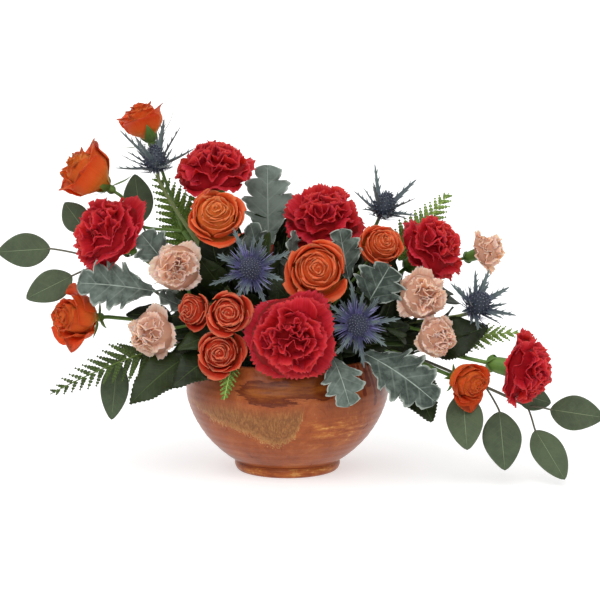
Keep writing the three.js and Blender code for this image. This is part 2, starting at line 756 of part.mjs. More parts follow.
const petals = [
  ...roses.map((b) => ({
    name: b.name, look: b.layers === 2 ? COLOURS.sprayRose : COLOURS.rose, solid: roseBloom(b), b,
  })),
  ...carnations.map((b) => ({ name: b.name, look: COLOURS.carnation, solid: carnationBloom(b), b })),
  ...minis.map((b) => ({ name: b.name, look: COLOURS.miniCarnation, solid: carnationBloom(b), b })),
].map(({ name, look, solid, b }) => ({ name, look, solid: solid.transform(b.matrix) }));

const pieces = [
  { name: 'bowl', look: COLOURS.bowl, solid: bowl() },
  {
    name: 'floral_foam', look: COLOURS.foam,
    solid: foam().subtract(unite(inFoam.map((p) => p.hole))),
  },
  ...inFoam,
  ...petals,
];

const centrepiece = new THREE.Group();
for (const { name, look, solid } of pieces) {
  const mesh = new THREE.Mesh(toGeometry(solid.simplify(SLIVER)), new THREE.MeshStandardMaterial(look));
  mesh.name = name;
  centrepiece.add(mesh);
}

export default centrepiece;
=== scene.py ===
"""A round-the-table flower centrepiece in a glazed stoneware bowl, dressed for the camera.

Shapes are worked out in millimetres in the part's frame (+Z up, the viewer at -Y, the origin at the
centre of the bowl's foot) and become metres when a mesh is made.
"""
import functools
import math
import zlib

import bmesh
import bpy
import numpy as np
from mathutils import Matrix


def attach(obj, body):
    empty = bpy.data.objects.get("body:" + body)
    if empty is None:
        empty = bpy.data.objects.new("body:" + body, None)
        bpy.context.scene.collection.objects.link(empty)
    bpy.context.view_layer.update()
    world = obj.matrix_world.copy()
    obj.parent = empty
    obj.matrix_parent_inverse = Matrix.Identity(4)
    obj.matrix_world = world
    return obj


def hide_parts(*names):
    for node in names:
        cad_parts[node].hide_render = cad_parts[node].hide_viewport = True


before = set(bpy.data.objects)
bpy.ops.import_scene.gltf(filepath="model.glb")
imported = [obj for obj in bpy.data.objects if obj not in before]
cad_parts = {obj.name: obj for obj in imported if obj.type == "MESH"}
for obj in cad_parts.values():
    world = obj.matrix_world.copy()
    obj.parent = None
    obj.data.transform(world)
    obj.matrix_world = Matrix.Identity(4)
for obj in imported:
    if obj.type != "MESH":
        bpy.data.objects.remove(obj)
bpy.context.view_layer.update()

MM = 0.001
WELD = 2e-6
TURN = 2 * math.pi
GOLDEN = 2.39996
FOAM_TOP, FOAM_REACH, ROOT_DEPTH = 134.0, 46, 22.0
# half thicknesses: a bloom's own stem, a forked stem's arm, a sea holly's stem, a twig, a stalk
STEM, ARM, HOLLY_STEM, TWIG_STEM, STALK = 2.0, 1.6, 1.8, 1.5, 1.0
# what a point of a surface carries for its finish, where a patch gives nothing else
PLAIN = {"rim": 0.0, "along": 0.0, "vein": 0.0, "tone": 0.5}

# ---------------------------------------------------------------- meshes


def smooth(x):
    """0 below 0, 1 above 1, and a smooth rise between."""
    x = np.clip(x, 0, 1)
    return x * x * (3 - 2 * x)


def unit(v):
    v = np.asarray(v, float)
    return v / np.linalg.norm(v, axis=-1, keepdims=True)


def dice(name):
    """A random generator that always gives the same draws for the same name."""
    return np.random.default_rng(zlib.crc32(name.encode()))


def span(rows, columns):
    """v down the rows from 0 to 1, and u across the columns from -1 to 1."""
    return np.linspace(0, 1, rows)[:, None], np.linspace(-1, 1, columns)[None, :]


def around(sides):
    """The angles of a full turn, one a column."""
    return np.linspace(0, TURN, sides, endpoint=False)[None, :]


def swing(far, aside, turn):
    """x and y of points this far out in the direction turn and aside to its left."""
    return far * math.cos(turn) - aside * math.sin(turn), far * math.sin(turn) + aside * math.cos(turn)


def patch(x, y, z, grain=None, closed=False, **values):
    """A rows by columns grid of points with its surface values, as flat arrays. closed joins the
    last column to the first."""
    shape = np.broadcast_shapes(np.shape(x), np.shape(y), np.shape(z))
    if grain is None:
        v, u = span(*shape)
        grain = (u + 1) / 2, v
    at = np.arange(shape[0] * shape[1]).reshape(shape)
    if closed:
        at = np.hstack([at, at[:, :1]])
    part = {"faces": np.stack([at[:-1, :-1], at[:-1, 1:], at[1:, 1:], at[1:, :-1]], -1).reshape(-1, 4)}
    for key, arrays in {"points": (x, y, z), "uv": grain}.items():
        flat = [np.broadcast_to(a, shape).reshape(-1) for a in arrays]
        part[key] = np.stack(flat, -1)
    for key, value in {**PLAIN, **values}.items():
        part[key] = np.broadcast_to(np.asarray(value, float), shape).reshape(-1)
    return part


def moved(parts, place):
    return [{**part, "points": place(part["points"])} for part in parts]


def put(name, data):
    """A new object in the scene."""
    made = bpy.data.objects.new(name, data)
    bpy.context.scene.collection.objects.link(made)
    return made


def piece(name, parts, finish, replaces=(), thick=0.0):
    """One object from its patches: points welded where they meet, thin sheets given thickness."""
    starts = np.cumsum([0] + [len(p["points"]) for p in parts[:-1]])
    faces = np.concatenate([p["faces"] + s for p, s in zip(parts, starts)])
    whole = {key: np.concatenate([p[key] for p in parts]) for key in ("points", "uv", *PLAIN)}
    mesh = bpy.data.meshes.new(name)
    mesh.from_pydata(whole["points"] * MM, [], faces)
    for key in PLAIN:
        layer = mesh.attributes.new(key, "FLOAT", "POINT")
        layer.data.foreach_set("value", whole[key].astype(np.float32))
    layer = mesh.uv_layers.new(name="grain")
    layer.data.foreach_set("uv", whole["uv"][faces.ravel()].astype(np.float32).ravel())
    welded = bmesh.new()
    welded.from_mesh(mesh)
    bmesh.ops.remove_doubles(welded, verts=welded.verts, dist=WELD)
    welded.to_mesh(mesh)
    welded.free()
    mesh.polygons.foreach_set("use_smooth", np.ones(len(mesh.polygons), bool))
    mesh.materials.append(finish)
    mesh.update()
    made = put(name, mesh)
    if thick:
        solid = made.modifiers.new("thickness", "SOLIDIFY")
        solid.thickness = thick * MM
        solid.offset = 0
    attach(made, "root")
    if replaces:
        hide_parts(*replaces)


def standing(base, faces):
    """The move that turns +Z the shortest way to faces, then goes to base."""
    v = np.cross([0.0, 0.0, 1.0], faces)
    k = np.array([[0, -v[2], v[1]], [v[2], 0, -v[0]], [-v[1], v[0], 0]])
    turn = np.eye(3) + k + k @ k / (1 + faces[2])
    return lambda points: points @ turn.T + base


def stretch(b, c, near, far, t):
    """A smooth curve from b to c, with its directions near b and far at c: a Hermite cubic."""
    return b + near * t + (3 * (c - b) - 2 * near - far) * t**2 + (2 * (b - c) + near + far) * t**3


def route(points, per=8):
    """A smooth curve through the points: a centripetal Catmull-Rom spline, per steps a stretch."""
    p = np.asarray(points, float)
    p = np.vstack([2 * p[0] - p[1], p, 2 * p[-1] - p[-2]])
    a, b, c, d = p[:-3], p[1:-2], p[2:-1], p[3:]
    gap = [np.sqrt(np.linalg.norm(n - m, axis=1, keepdims=True)) for m, n in ((a, b), (b, c), (c, d))]
    start = ((b - a) / gap[0] - (c - a) / (gap[0] + gap[1]) + (c - b) / gap[1]) * gap[1]
    end = ((c - b) / gap[1] - (d - b) / (gap[1] + gap[2]) + (d - c) / gap[2]) * gap[1]
    t = np.linspace(0, 1, per, endpoint=False)[None, :, None]
    b, c, start, end = (m[:, None, :] for m in (b, c, start, end))
    return np.vstack([stretch(b, c, start, end, t).reshape(-1, 3), p[-2]])


def tube(line, radius, sides=10):
    """A round stem with closed ends along a line of points. radius is one number or one a point.
    The ring's first direction is carried along the line without twist."""
    line = np.asarray(line, float)
    ahead = unit(np.gradient(line, axis=0))
    out = np.zeros_like(line)
    out[0] = unit(np.cross(ahead[0], [0.3, 1.0, 0.2]))
    for i in range(1, len(line)):
        out[i] = unit(out[i - 1] - ahead[i] * (out[i - 1] @ ahead[i]))
    side = np.cross(ahead, out)
    radius = np.concatenate([[0], np.broadcast_to(radius, len(line)), [0]])[:, None]
    line, out, side = (np.vstack([m[:1], m, m[-1:]])[:, None] for m in (line, out, side))
    angle = around(sides)[..., None]
    ring = out * np.cos(angle) + side * np.sin(angle)
    points = line + ring * radius[..., None]
    far = np.cumsum(np.linalg.norm(np.diff(line[:, 0], axis=0, prepend=line[:1, 0]), axis=1))
    return patch(
        *np.moveaxis(points, -1, 0), along=(far / far[-1])[:, None], closed=True,
        grain=(np.linspace(0, 1, sides)[None, :], far[:, None] / 20),
    )


def lathe(profile, sides, **values):
    """The profile, [radius, height] pairs, turned round the Z axis."""
    r, z = np.asarray(profile, float).T[:, :, None]
    return patch(r * np.cos(around(sides)), r * np.sin(around(sides)), z, closed=True, **values)


# ---------------------------------------------------------------- finishes


def srgb(code):
    """An sRGB hex colour as linear red, green and blue with full alpha."""
    part = np.array([int(code[i:i + 2], 16) for i in (1, 3, 5)]) / 255
    linear = np.where(part <= 0.04045, part / 12.92, ((part + 0.055) / 1.055) ** 2.4)
    return (*linear.tolist(), 1.0)


# the output taken from a node, where it isn't the first
OUTPUT = {"Mix": 2, "Attribute": "Fac", "TexCoord": "Object"}


def add(tree, kind, *inputs, out=None, **keys):
    """Adds one node and returns an output. A kind in capitals is a Math operation, and every Mix
    mixes colours. inputs are its first ones in order (a Mix's share, under and over), each a value
    or another node's output. Keys in lower case are the node's properties, and ramp the stops of
    its colour ramp. Other keys are inputs, named with _ for a space or numbered as in3."""
    node = tree.nodes.new("ShaderNodeMath" if kind.isupper() else "ShaderNode" + kind)
    if kind.isupper():
        node.operation = kind
    if kind == "Mix":
        node.data_type = "RGBA"
    order = (0, 6, 7) if kind == "Mix" else range(len(inputs))
    sockets = [(node.inputs[i], value) for i, value in zip(order, inputs)]
    for key, value in keys.items():
        if key == "ramp":
            stops = node.color_ramp.elements
            for i, (at, colour) in enumerate(value):
                stop = stops[i] if i < 2 else stops.new(at)
                stop.position = at
                stop.color = srgb(colour) if isinstance(colour, str) else (colour, colour, colour, 1)
        elif key[2:].isdigit():
            sockets.append((node.inputs[int(key[2:])], value))
        elif key.islower():
            setattr(node, key, value)
        else:
            sockets.append((node.inputs[key.replace("_", " ")], value))
    for socket, value in sockets:
        if isinstance(value, bpy.types.NodeSocket):
            tree.links.new(value, socket)
        else:
            socket.default_value = value
    return node.outputs[OUTPUT.get(kind, 0) if out is None else out]


def material(name, **surface):
    """A material with its Principled shader's fixed sockets set, and what adds a node to it."""
    made = bpy.data.materials.new(name)
    made.use_nodes = True
    shader = made.node_tree.nodes["Principled BSDF"]
    for key, value in surface.items():
        shader.inputs[key.replace("_", " ")].default_value = value
    return made, functools.partial(add, made.node_tree)


def values_of(new, *names):
    """The outputs that read these values of the piece's points."""
    return [new("Attribute", attribute_name=n) for n in names]


def drawn_out(new, place, scales, **noise):
    """Noise whose marks are finer along some axes of the place than along others."""
    return new("TexNoise", new("Mapping", place, in3=scales), Scale=1.0, **noise)


def joined(made, colour, height, strength, distance, **more):
    """The material with its colour, a relief of this height and more joined to its shader."""
    tree = made.node_tree
    relief = add(tree, "Bump", Strength=strength, Distance=distance, Height=height)
    for key, source in {"Base Color": colour, "Normal": relief, **more}.items():
        tree.links.new(source, tree.nodes["Principled BSDF"].inputs[key])
    return made


def fresh_petal(name, foot, body, lip, rim, shade, brim, streak=0.25, rough=0.5, sheen=0.04):
    """Fresh petal: thin, matt and velvety, with a soft warm sheen where it turns away. Its colour
    runs from the claw to the lip, with fine veins along it and a paler edge. A claw darker than the
    body is painted shade deep in the bloom, and the paler edge is partly the petal's own colour and
    partly a painted highlight along the rolled rims."""
    made, new = material(
        name, Roughness=rough, IOR=1.4, Specular_IOR_Level=0.2, Specular_Tint=(1.0, 0.45, 0.3, 1.0),
        Sheen_Weight=sheen, Sheen_Tint=(1.0, 0.6, 0.45, 1.0), Sheen_Roughness=0.4,
        Subsurface_Weight=0.5, Subsurface_Radius=(1.0, 0.4, 0.2), Subsurface_Scale=0.005,
    )
    along, edge, tone, inner = values_of(new, "along", "rim", "tone", "vein")
    # claw to lip: a claw darker than the body, as on the carnations, is painted shade deep in the
    # bloom
    base = new("ValToRGB", along, ramp=[(0.0, foot), (0.5, body), (1.0, lip)])
    # the inner petals of a bloom are a little nearer the foot's colour
    base = new("Mix", inner, base, srgb(foot))
    # each petal is a little lighter or darker than its neighbours
    own = new("ValToRGB", tone, ramp=[(0.0, shade), (1.0, "#ffffff")])
    base = new("Mix", 0.4, base, own, blend_type="MULTIPLY")
    # veins: noise drawn out along the petal, about 30 across it
    veins = drawn_out(new, new("UVMap", uv_map="grain"), (30.0, 1.6, 1.0), Detail=3.0, Roughness=0.6)
    veined = new("ValToRGB", veins, ramp=[(0.3, shade), (0.7, "#ffffff")])
    base = new("Mix", streak, base, veined, blend_type="MULTIPLY")
    # broad uneven colour, 12 mm patches
    blotch = new("TexNoise", new("TexCoord"), Scale=80.0, Detail=2.0)
    base = new("HueSaturation", Color=base, Value=new("MapRange", blotch, in3=0.82, in4=1.18))
    # the paler edge: partly the petal's own colour, partly a painted highlight along the rolled rims
    pale = new("ValToRGB", edge, ramp=[(0.4, 0.0), (1.0, brim)])
    base = new("Mix", pale, base, srgb(rim))
    return joined(made, base, veins, 0.35, 0.0004)


def leaf_blade(
    name, dark, light, rib, edge, rough, level, rib_width, vein_share, edge_share, felt=0.0,
    puff=0.0006,
):
    """A leaf's skin. A waxy one is satin and smooth, and a felted one is matt, with a soft sheen.
    The midrib and side veins are paler than the blade and stand in shallow grooves."""
    made, new = material(
        name, Roughness=rough, IOR=1.45, Specular_IOR_Level=level, Sheen_Weight=felt,
        Sheen_Roughness=0.45,
    )
    side, vein, tone = values_of(new, "rim", "vein", "tone")
    here = new("TexCoord")
    cloud = new("TexNoise", here, Scale=110.0, Detail=4.0, Roughness=0.6)
    shade = new("MULTIPLY_ADD", tone, 0.6, -0.3)
    shade = new("ADD", cloud, shade)
    base = new("ValToRGB", shade, ramp=[(0.25, dark), (0.75, light)])
    # side veins: a line wherever the vein value passes a whole number, weaker towards the edge
    wave = new("PINGPONG", vein, 0.5)
    line = new("ValToRGB", wave, ramp=[(0.0, 1.0), (0.09, 0.0)])
    fade = new("ValToRGB", side, ramp=[(0.1, 1.0), (0.95, 0.2)])
    line = new("MULTIPLY", line, fade)
    line = new("MULTIPLY", line, vein_share)
    mid = new("ValToRGB", side, ramp=[(0.0, 1.0), (rib_width, 0.8), (rib_width * 2.2, 0.0)])
    both = new("MAXIMUM", line, mid)
    base = new("Mix", both, base, srgb(rib))
    brim = new("ValToRGB", side, ramp=[(0.86, 0.0), (1.0, edge_share)])
    base = new("Mix", brim, base, srgb(edge))
    nap = new("TexNoise", here, Scale=1400.0 if felt else 420.0, Detail=3.0)
    height = new("MULTIPLY_ADD", both, -0.9, nap)
    return joined(made, base, height, 0.6, puff)


def green_stem(name, dark, light, rough=0.5):
    """Living stem: smooth green skin with fine lengthwise ridges."""
    made, new = material(name, Roughness=rough, IOR=1.45, Specular_IOR_Level=0.4)
    ridges = drawn_out(new, new("UVMap", uv_map="grain"), (14.0, 0.5, 1.0), Detail=2.0)
    cloud = new("TexNoise", new("TexCoord"), Scale=70.0, Detail=3.0)
    shade = new("ADD", ridges, cloud)
    shade = new("MULTIPLY", shade, 0.5)
    base = new("ValToRGB", shade, ramp=[(0.3, dark), (0.7, light)])
    return joined(made, base, ridges, 0.4, 0.0003)


def holly_finish():
    """Sea holly: stiff, matt and steely. The cone and the inner bracts are violet-blue, the outer
    bracts slate green with paler ribs, spines and tips. along runs from green (0) to violet (1),
    and rim is 1 at a pale tip."""
    made, new = material(
        "sea_holly_steel", Roughness=0.55, IOR=1.45, Specular_IOR_Level=0.4, Sheen_Weight=0.15
    )
    along, edge, tone = values_of(new, "along", "rim", "tone")
    cloud = new("TexNoise", new("TexCoord"), Scale=220.0, Detail=3.0)
    base = new("ValToRGB", along, ramp=[
        (0.0, "#8c9c5c"), (0.08, "#566662"), (0.28, "#48506a"), (0.55, "#5c568e"), (1.0, "#8e86c6"),
    ])
    base = new("HueSaturation", Color=base, Value=new("MapRange", cloud, in3=0.6, in4=1.4))
    own = new("ValToRGB", tone, ramp=[(0.0, "#4a4e66"), (1.0, "#ffffff")])
    base = new("Mix", 0.7, base, own, blend_type="MULTIPLY")
    pale = new("ValToRGB", edge, ramp=[(0.55, 0.0), (1.0, 0.75)])
    base = new("Mix", pale, base, srgb("#a2abb2"))
    return joined(made, base, cloud, 0.3, 0.0003)


def stoneware_glaze():
    """Glazed stoneware: a glossy skin over fired clay. Mottled terracotta glaze with faint brush
    rings, an olive drip with a feathered edge, amber and dark runs under the rim and worn copper
    lower down, and a darker line round the groove at the top of the foot. rim is the drip, along the
    amber band, vein the dark runs and that line, tone the copper and the map's first value how thick
    the drip still is, all worked out on the bowl's points."""
    made, new = material(
        "stoneware_glaze", IOR=1.5, Specular_IOR_Level=0.2, Coat_Weight=0.08, Coat_Roughness=0.1
    )
    drip, amber, runs_and_foot_line, copper = values_of(new, "rim", "along", "vein", "tone")
    thick = new("SeparateXYZ", new("UVMap", uv_map="grain"))
    here = new("TexCoord")

    def blend(share, source, rest):
        return new("MULTIPLY_ADD", source, share, rest)

    def lay(under, over, mask, stops, share=1.0):
        """One glaze over another, from where the mask passes the first stop."""
        cover = new("ValToRGB", ramp=stops, Fac=mask)
        cover = new("MULTIPLY", cover, share)
        return new("Mix", cover, under, over)

    # brush rings: noise drawn out round the bowl, about 4 mm high
    strokes = drawn_out(new, here, (22.0, 22.0, 130.0), Detail=5.0, Roughness=0.65, Distortion=0.5)
    mottle = new("TexNoise", here, Scale=60.0, Detail=7.0, Roughness=0.72, Distortion=0.6)
    cloud = new("TexNoise", here, Scale=15.0, Detail=3.0, Roughness=0.5)
    speckle = new("TexNoise", here, Scale=480.0, Detail=4.0, Roughness=0.75)
    mixed = blend(0.55, cloud, blend(0.75, mottle, blend(0.3, strokes, -0.28)))
    base = new("ValToRGB", mixed, ramp=[
        (0.3, "#733417"), (0.45, "#894420"), (0.58, "#974e26"), (0.75, "#a65e32"),
    ])
    # worn copper with tan flecks along finer brush strokes
    finer = drawn_out(new, here, (45.0, 45.0, 330.0), Detail=5.0, Roughness=0.7)
    warm = new("ValToRGB", Fac=blend(1.0, finer, blend(0.9, mottle, -0.45)), ramp=[
        (0.36, "#863e18"), (0.5, "#9e5022"), (0.6, "#ae662c"), (0.7, "#c88e4e"),
    ])
    feather = blend(1.5, mottle, -0.75)
    base = lay(base, warm, blend(1.0, copper, feather), [(0.15, 0.0), (0.7, 0.95)])
    # the olive drip: fine hairs run down it, lightest and thinnest at its lower edge
    hairs = drawn_out(new, here, (560.0, 560.0, 60.0), Detail=4.0, Roughness=0.7)
    wisp = blend(2.2, hairs, -1.1)
    olive = new("ValToRGB", Fac=blend(0.7, wisp, drip), ramp=[
        (0.4, "#c2965c"), (0.62, "#a07442"), (0.82, "#885a30"), (1.0, "#724828"),
    ])
    edge = blend(1.1, blend(0.35, feather, wisp), drip)
    base = lay(base, olive, edge, [(0.42, 0.0), (0.56, 0.85)], thick)
    # the amber band, brown where it is thin, and the dark runs with the darker line above the foot
    brush = blend(0.5, feather, blend(1.5, finer, -0.75))
    edge = new("ADD", amber, brush)
    gold = new("ValToRGB", edge, ramp=[
        (0.36, "#4a1808"), (0.5, "#5a220a"), (0.7, "#6e320c"), (1.0, "#8a4a16"),
    ])
    base = lay(base, gold, edge, [(0.36, 0.0), (0.44, 0.95)])
    base = lay(base, srgb("#6a220c"), blend(0.3, feather, runs_and_foot_line), [(0.34, 0.0), (0.42, 0.95)])
    base = new("HueSaturation", Color=base, Value=new("MapRange", speckle, in3=0.75, in4=1.25))
    gloss = new("MapRange", mottle, in3=0.18, in4=0.44)
    return joined(made, base, blend(0.3, speckle, strokes), 0.3, 0.0006, Roughness=gloss)


def wet_foam():
    """Wet phenolic foam, its green painted near-black as the shade under the foliage: matt and full
    of pores under half a millimetre, drawn at 1 mm so that they show."""
    made, new = material("phenolic_foam", Roughness=0.9, IOR=1.4)
    here = new("TexCoord")
    pores = new("TexVoronoi", here, Scale=900.0)
    cloud = new("TexNoise", here, Scale=60.0, Detail=4.0)
    shade = new("ADD", pores, cloud)
    # near-black greens: the foam's own green painted over with shade
    base = new("ValToRGB", shade, ramp=[(0.4, "#0c160f"), (1.0, "#1e3324")])
    return joined(made, base, pores, 0.8, 0.0008)


ROSE = fresh_petal("rose_petal", "#e8a044", "#d8562c", "#d24c2a", "#ee8c64", "#c45a38", 0.4)
BUD_ROSE = fresh_petal("rose_bud_petal", "#e8a83e", "#d8622a", "#cc4e26", "#a03822", "#cc603a", 0.5)
SPRAY_ROSE = fresh_petal(
    "spray_rose_petal", "#d04a22", "#c23a24", "#c03a28", "#e88a68", "#b04432", 0.5
)
# carnations: the dark claw colour is painted shade deep in the bloom
CARNATION = fresh_petal(
    "carnation_petal", "#980a18", "#b41222", "#c42236", "#de5060", "#a82434", 0.2, streak=0.5,
    rough=0.6, sheen=0.05,
)
# mini carnations: the darker claw colour is painted shade in the folds
MINI_CARNATION = fresh_petal(
    "mini_carnation_petal", "#cc6e4c", "#e4ab92", "#ecc8b8", "#f2d8cc", "#d09078", 0.15, streak=0.3,
    sheen=0.05,
)
ROSE_GREEN = green_stem("rose_stem", "#3f5f26", "#6f8f42")
CARNATION_GREEN = green_stem("carnation_stem", "#456f2a", "#749648")
TWIG = green_stem("eucalyptus_twig", "#4a4a3c", "#6a6a55")
FERN_STALK = green_stem("fern_stalk", "#33501f", "#5a7a34")
SALAL_TWIG = green_stem("salal_twig", "#33401e", "#566434")
FELT_STALK = green_stem("dusty_miller_stalk", "#7a8578", "#a2aca0", rough=0.85)
HOLLY = holly_finish()
FELT = leaf_blade(
    "dusty_miller_felt", "#3a433d", "#717d75", "#98a49a", "#b6c0b6", 0.9, 0.1, 0.016, 0.3, 0.7,
    felt=0.15, puff=0.0008,
)
EUCALYPTUS_LEAF = leaf_blade(
    "eucalyptus_wax", "#404b38", "#505c44", "#7c8a6a", "#6c7a5c", 0.6, 0.2, 0.012, 0.12, 0.25
)
SALAL_LEAF = leaf_blade(
    "salal_leather", "#121a0a", "#253213", "#42522a", "#2e3e18", 0.45, 0.25, 0.02, 0.3, 0.3
)
FERN_LEAF = leaf_blade(
    "fern_frond", "#4a6a22", "#7c9a42", "#94b05a", "#88a44c", 0.5, 0.3, 0.05, 0.3, 0.2
)
# a darker copy of the fern finish: painted shade for the frond that hangs low under the blooms
SHADED_FERN_LEAF = leaf_blade(
    "fern_frond_painted_shade", "#1f2c12", "#3a4c20", "#54682e", "#44582a", 0.5, 0.3, 0.05, 0.3, 0.2
)

# ---------------------------------------------------------------- bowl and foam

BOWL_WALL = np.array(
    [(52.6, 10), (67, 20.5), (83.5, 38), (96.5, 61), (101.5, 85), (92.5, 116)], float
)
WALL, FLOOR, LIP = 6.5, 16.0, 3.0
BOWL_ROWS, BOWL_SIDES = 90, 720
# the olive drip's lower edge, hanging lowest a little left of the front: degrees and heights
DRIP_EDGE = ([-75, -62, -45, -33, -22, -14, -7, 0, 5, 8, 11],
             [84, 73, 62, 57, 52, 45, 41, 44, 52, 66, 92])
# the dark runs: degrees round from the front, half width in degrees and lowest height
DARK_RUNS = [
    (43, 3.6, 97), (48.5, 1.9, 84), (54, 2.8, 92), (58.5, 1.9, 72), (65, 2.6, 80), (72, 2.2, 93),
    (38, 2.0, 103), (-61, 1.8, 93), (-56, 1.2, 102), (118, 3.0, 84), (123, 1.6, 74),
    (129, 2.2, 88), (-118, 2.4, 82), (-124, 1.6, 92), (176, 2.6, 80), (169, 1.8, 88),
]


def wall_curve(count):
    """The bowl's outer wall: a Catmull-Rom curve through BOWL_WALL, its ends repeated."""
    p = np.vstack([BOWL_WALL[:1], BOWL_WALL, BOWL_WALL[-1:]])
    t = np.linspace(0, len(BOWL_WALL) - 1 - 1e-9, count)
    i = t.astype(int)
    w = (t - i)[:, None]
    a, b, c, d = (p[i + k] for k in range(4))
    return stretch(b, c, (c - a) / 2, (d - b) / 2, w)


def bowl_profile():
    """Foot ring, outer wall, rolled lip, inner wall and floor, from axis to axis."""
    outer = wall_curve(BOWL_ROWS)
    ahead = unit(np.gradient(outer, axis=0))
    inner = outer - WALL * np.stack([ahead[:, 1], -ahead[:, 0]], 1)
    swell = np.sin(outer[:, 1] * 0.9) * 0.12 + np.sin(outer[:, 1] * 2.3) * 0.08
    outer[:, 0] += swell * smooth((outer[:, 1] - 12) / 8)
    middle, across = (outer[-1] + inner[-1]) / 2, (outer[-1] - inner[-1]) / 2
    half_circle = np.linspace(0, math.pi, 13)[1:-1, None]
    lip = middle + across * np.cos(half_circle) + np.array([[0, LIP]]) * np.sin(half_circle)
    foot = [[0, 1.4], [20, 1.4], [41, 1.4], [43.5, 0.2], [45, 0], [49, 0], [50.6, 0.5],
            [51.8, 1.8], [52.6, 3.6], [53.2, 5.6], [53.2, 7.4], [52.2, 8.8], [51.6, 9.4]]
    floor = [[38, FLOOR + 1.5], [20, FLOOR + 0.2], [0, FLOOR]]
    inner = inner[::-5]
    return np.vstack([foot, outer[1:], lip, inner[inner[:, 1] > FLOOR + 4], floor])


def glaze_masks(angle, height):
    """The bowl's surface values, from the angle round it, 0 at the front, and the height: the olive
    drip, the amber band, the dark runs with a darker line round the groove above the foot, and the
    worn copper, each near 0.5 or above inside its patch and falling away smoothly round it, and how
    thick the drip still is."""
    deg = np.degrees(angle)
    low = np.interp(deg, *DRIP_EDGE)
    drip = np.where((deg > -80) & (deg < 14), np.minimum(0.5 + (height - low) / 16, 0.86), 0)
    thick = smooth((85 + 2 * np.sin(deg / 7) - height) / 17)
    back = 56 + 9 * np.sin(3 * angle + 0.6) + 6 * np.sin(7 * angle)
    back = back + 45 * smooth((150 - np.abs(deg)) / 40)
    drip = np.where(np.abs(deg) > 100, np.clip(0.5 + (height - back) / 20, 0, 0.86), drip)
    band = 97 + 3 * np.sin(angle * 5) + 1.5 * np.sin(angle * 13)
    amber = 1.0 - np.abs(height - band - 1) / 20 - 0.75 * smooth((np.abs(deg - 1) - 19) / 15)
    behind = 0.8 - np.abs(height - band) / 12 - 0.5 * smooth((150 - np.abs(deg)) / 20)
    # a darker line round the groove at the top of the foot, in the same mask as the dark runs
    runs_and_foot_line = 0.42 * np.exp(-(((height - 10.5) / 1.7) ** 2))
    for middle, wide, bottom in DARK_RUNS:
        lean = middle + 0.06 * (height - 100) * math.sin(5 * middle)
        # each run ends in a fuller drop
        full = wide * (0.72 + 0.4 * np.exp(-(((height - bottom - 5) / 5) ** 2)))
        run = 1 - (np.abs((deg - lean + 180) % 360 - 180) / full) ** 2
        runs_and_foot_line = np.maximum(runs_and_foot_line, run * smooth((height - bottom) / 5) * smooth((119 - height) / 4))
    copper = 0.8 - ((deg - 38) / 44) ** 2 - ((height - 54) / 24) ** 2
    copper = np.maximum(copper, 0.75 - ((height - 5) / 6) ** 2)
    copper = np.maximum(copper, 0.62 - ((np.abs(deg) - 150) / 30) ** 2 - ((height - 40) / 20) ** 2)
    return {
        "rim": drip, "along": np.clip(np.maximum(amber, behind), 0, 1), "vein": np.clip(runs_and_foot_line, 0, 1),
        "tone": np.clip(copper, 0, 1), "grain": (thick, 0),
    }


def make_bowl():
    r, z = bowl_profile().T[:, :, None]
    x, y = r * np.cos(around(BOWL_SIDES)), r * np.sin(around(BOWL_SIDES))
    body = patch(x, y, z, closed=True, **glaze_masks(np.arctan2(x, -y), z + 0 * x))
    piece("bowl_glazed", [body], stoneware_glaze(), ["bowl"])


# ---------------------------------------------------------------- roses


def rose_petal(size, turn, tone, reach, top, belly, half, curl, tip, wobble, cone, gold):
    """One petal. It rises from the hip out to its belly and in or out to its lip; its outline is
    round-shouldered. Its edge rolls outwards, most at the tip, and ripples a little. A higher cone
    has a leaner belly."""
    v, u = span(13, 17)
    v = 1 - (1 - v) ** 1.8
    wide = np.where(
        v < 0.5, 0.42 + 0.58 * smooth(v / 0.5),
        np.maximum(1 - np.maximum((v - 0.5) / 0.5, 0) ** (3.4 + 5 * (cone - 1)), 0) ** (1 / 2.4),
    )
    wide = np.maximum(wide, 0.05)
    angle = turn + half * wide * u + wobble * np.sin(5 * v)
    rise = np.sin(np.minimum(v / 0.5, 1) * math.pi / 2) ** cone
    r = 0.1 * size + (belly - 0.1 * size) * rise
    r = r + (reach - belly) * smooth((v - 0.5) / 0.5)
    z = top * v**0.9 * (1 - 0.05 * u**2)
    side = np.abs(u) * smooth((v - 0.2) / 0.5)
    roll = np.clip((np.maximum(v, 0.86 * side) - 0.74) / 0.26, 0, 1) ** 1.5
    peak = (1 - 0.8 * u**2) * np.clip((v - 0.62) / 0.38, 0, 1) ** 1.3
    r = r + curl * roll + tip * peak
    z = z - 0.5 * curl * roll * smooth((v - 0.3) / 0.3) - 0.15 * tip * peak
    ripple = 0.03 * size * v**3 * np.sin(3.1 * u + 11 * tone)
    r = r * (1 + 0.05 * u) + 0.012 * size * np.sin(4 * angle + 9 * tone) * v + ripple
    rim = np.clip((np.maximum(v, side) - 0.8) / 0.2, 0, 1)
    return patch(
        r * np.cos(angle), r * np.sin(angle), z + ripple + 0 * angle, rim=rim, along=v, tone=tone,
        vein=gold, grain=(0.5 + 0.5 * u * wide, v),
    )


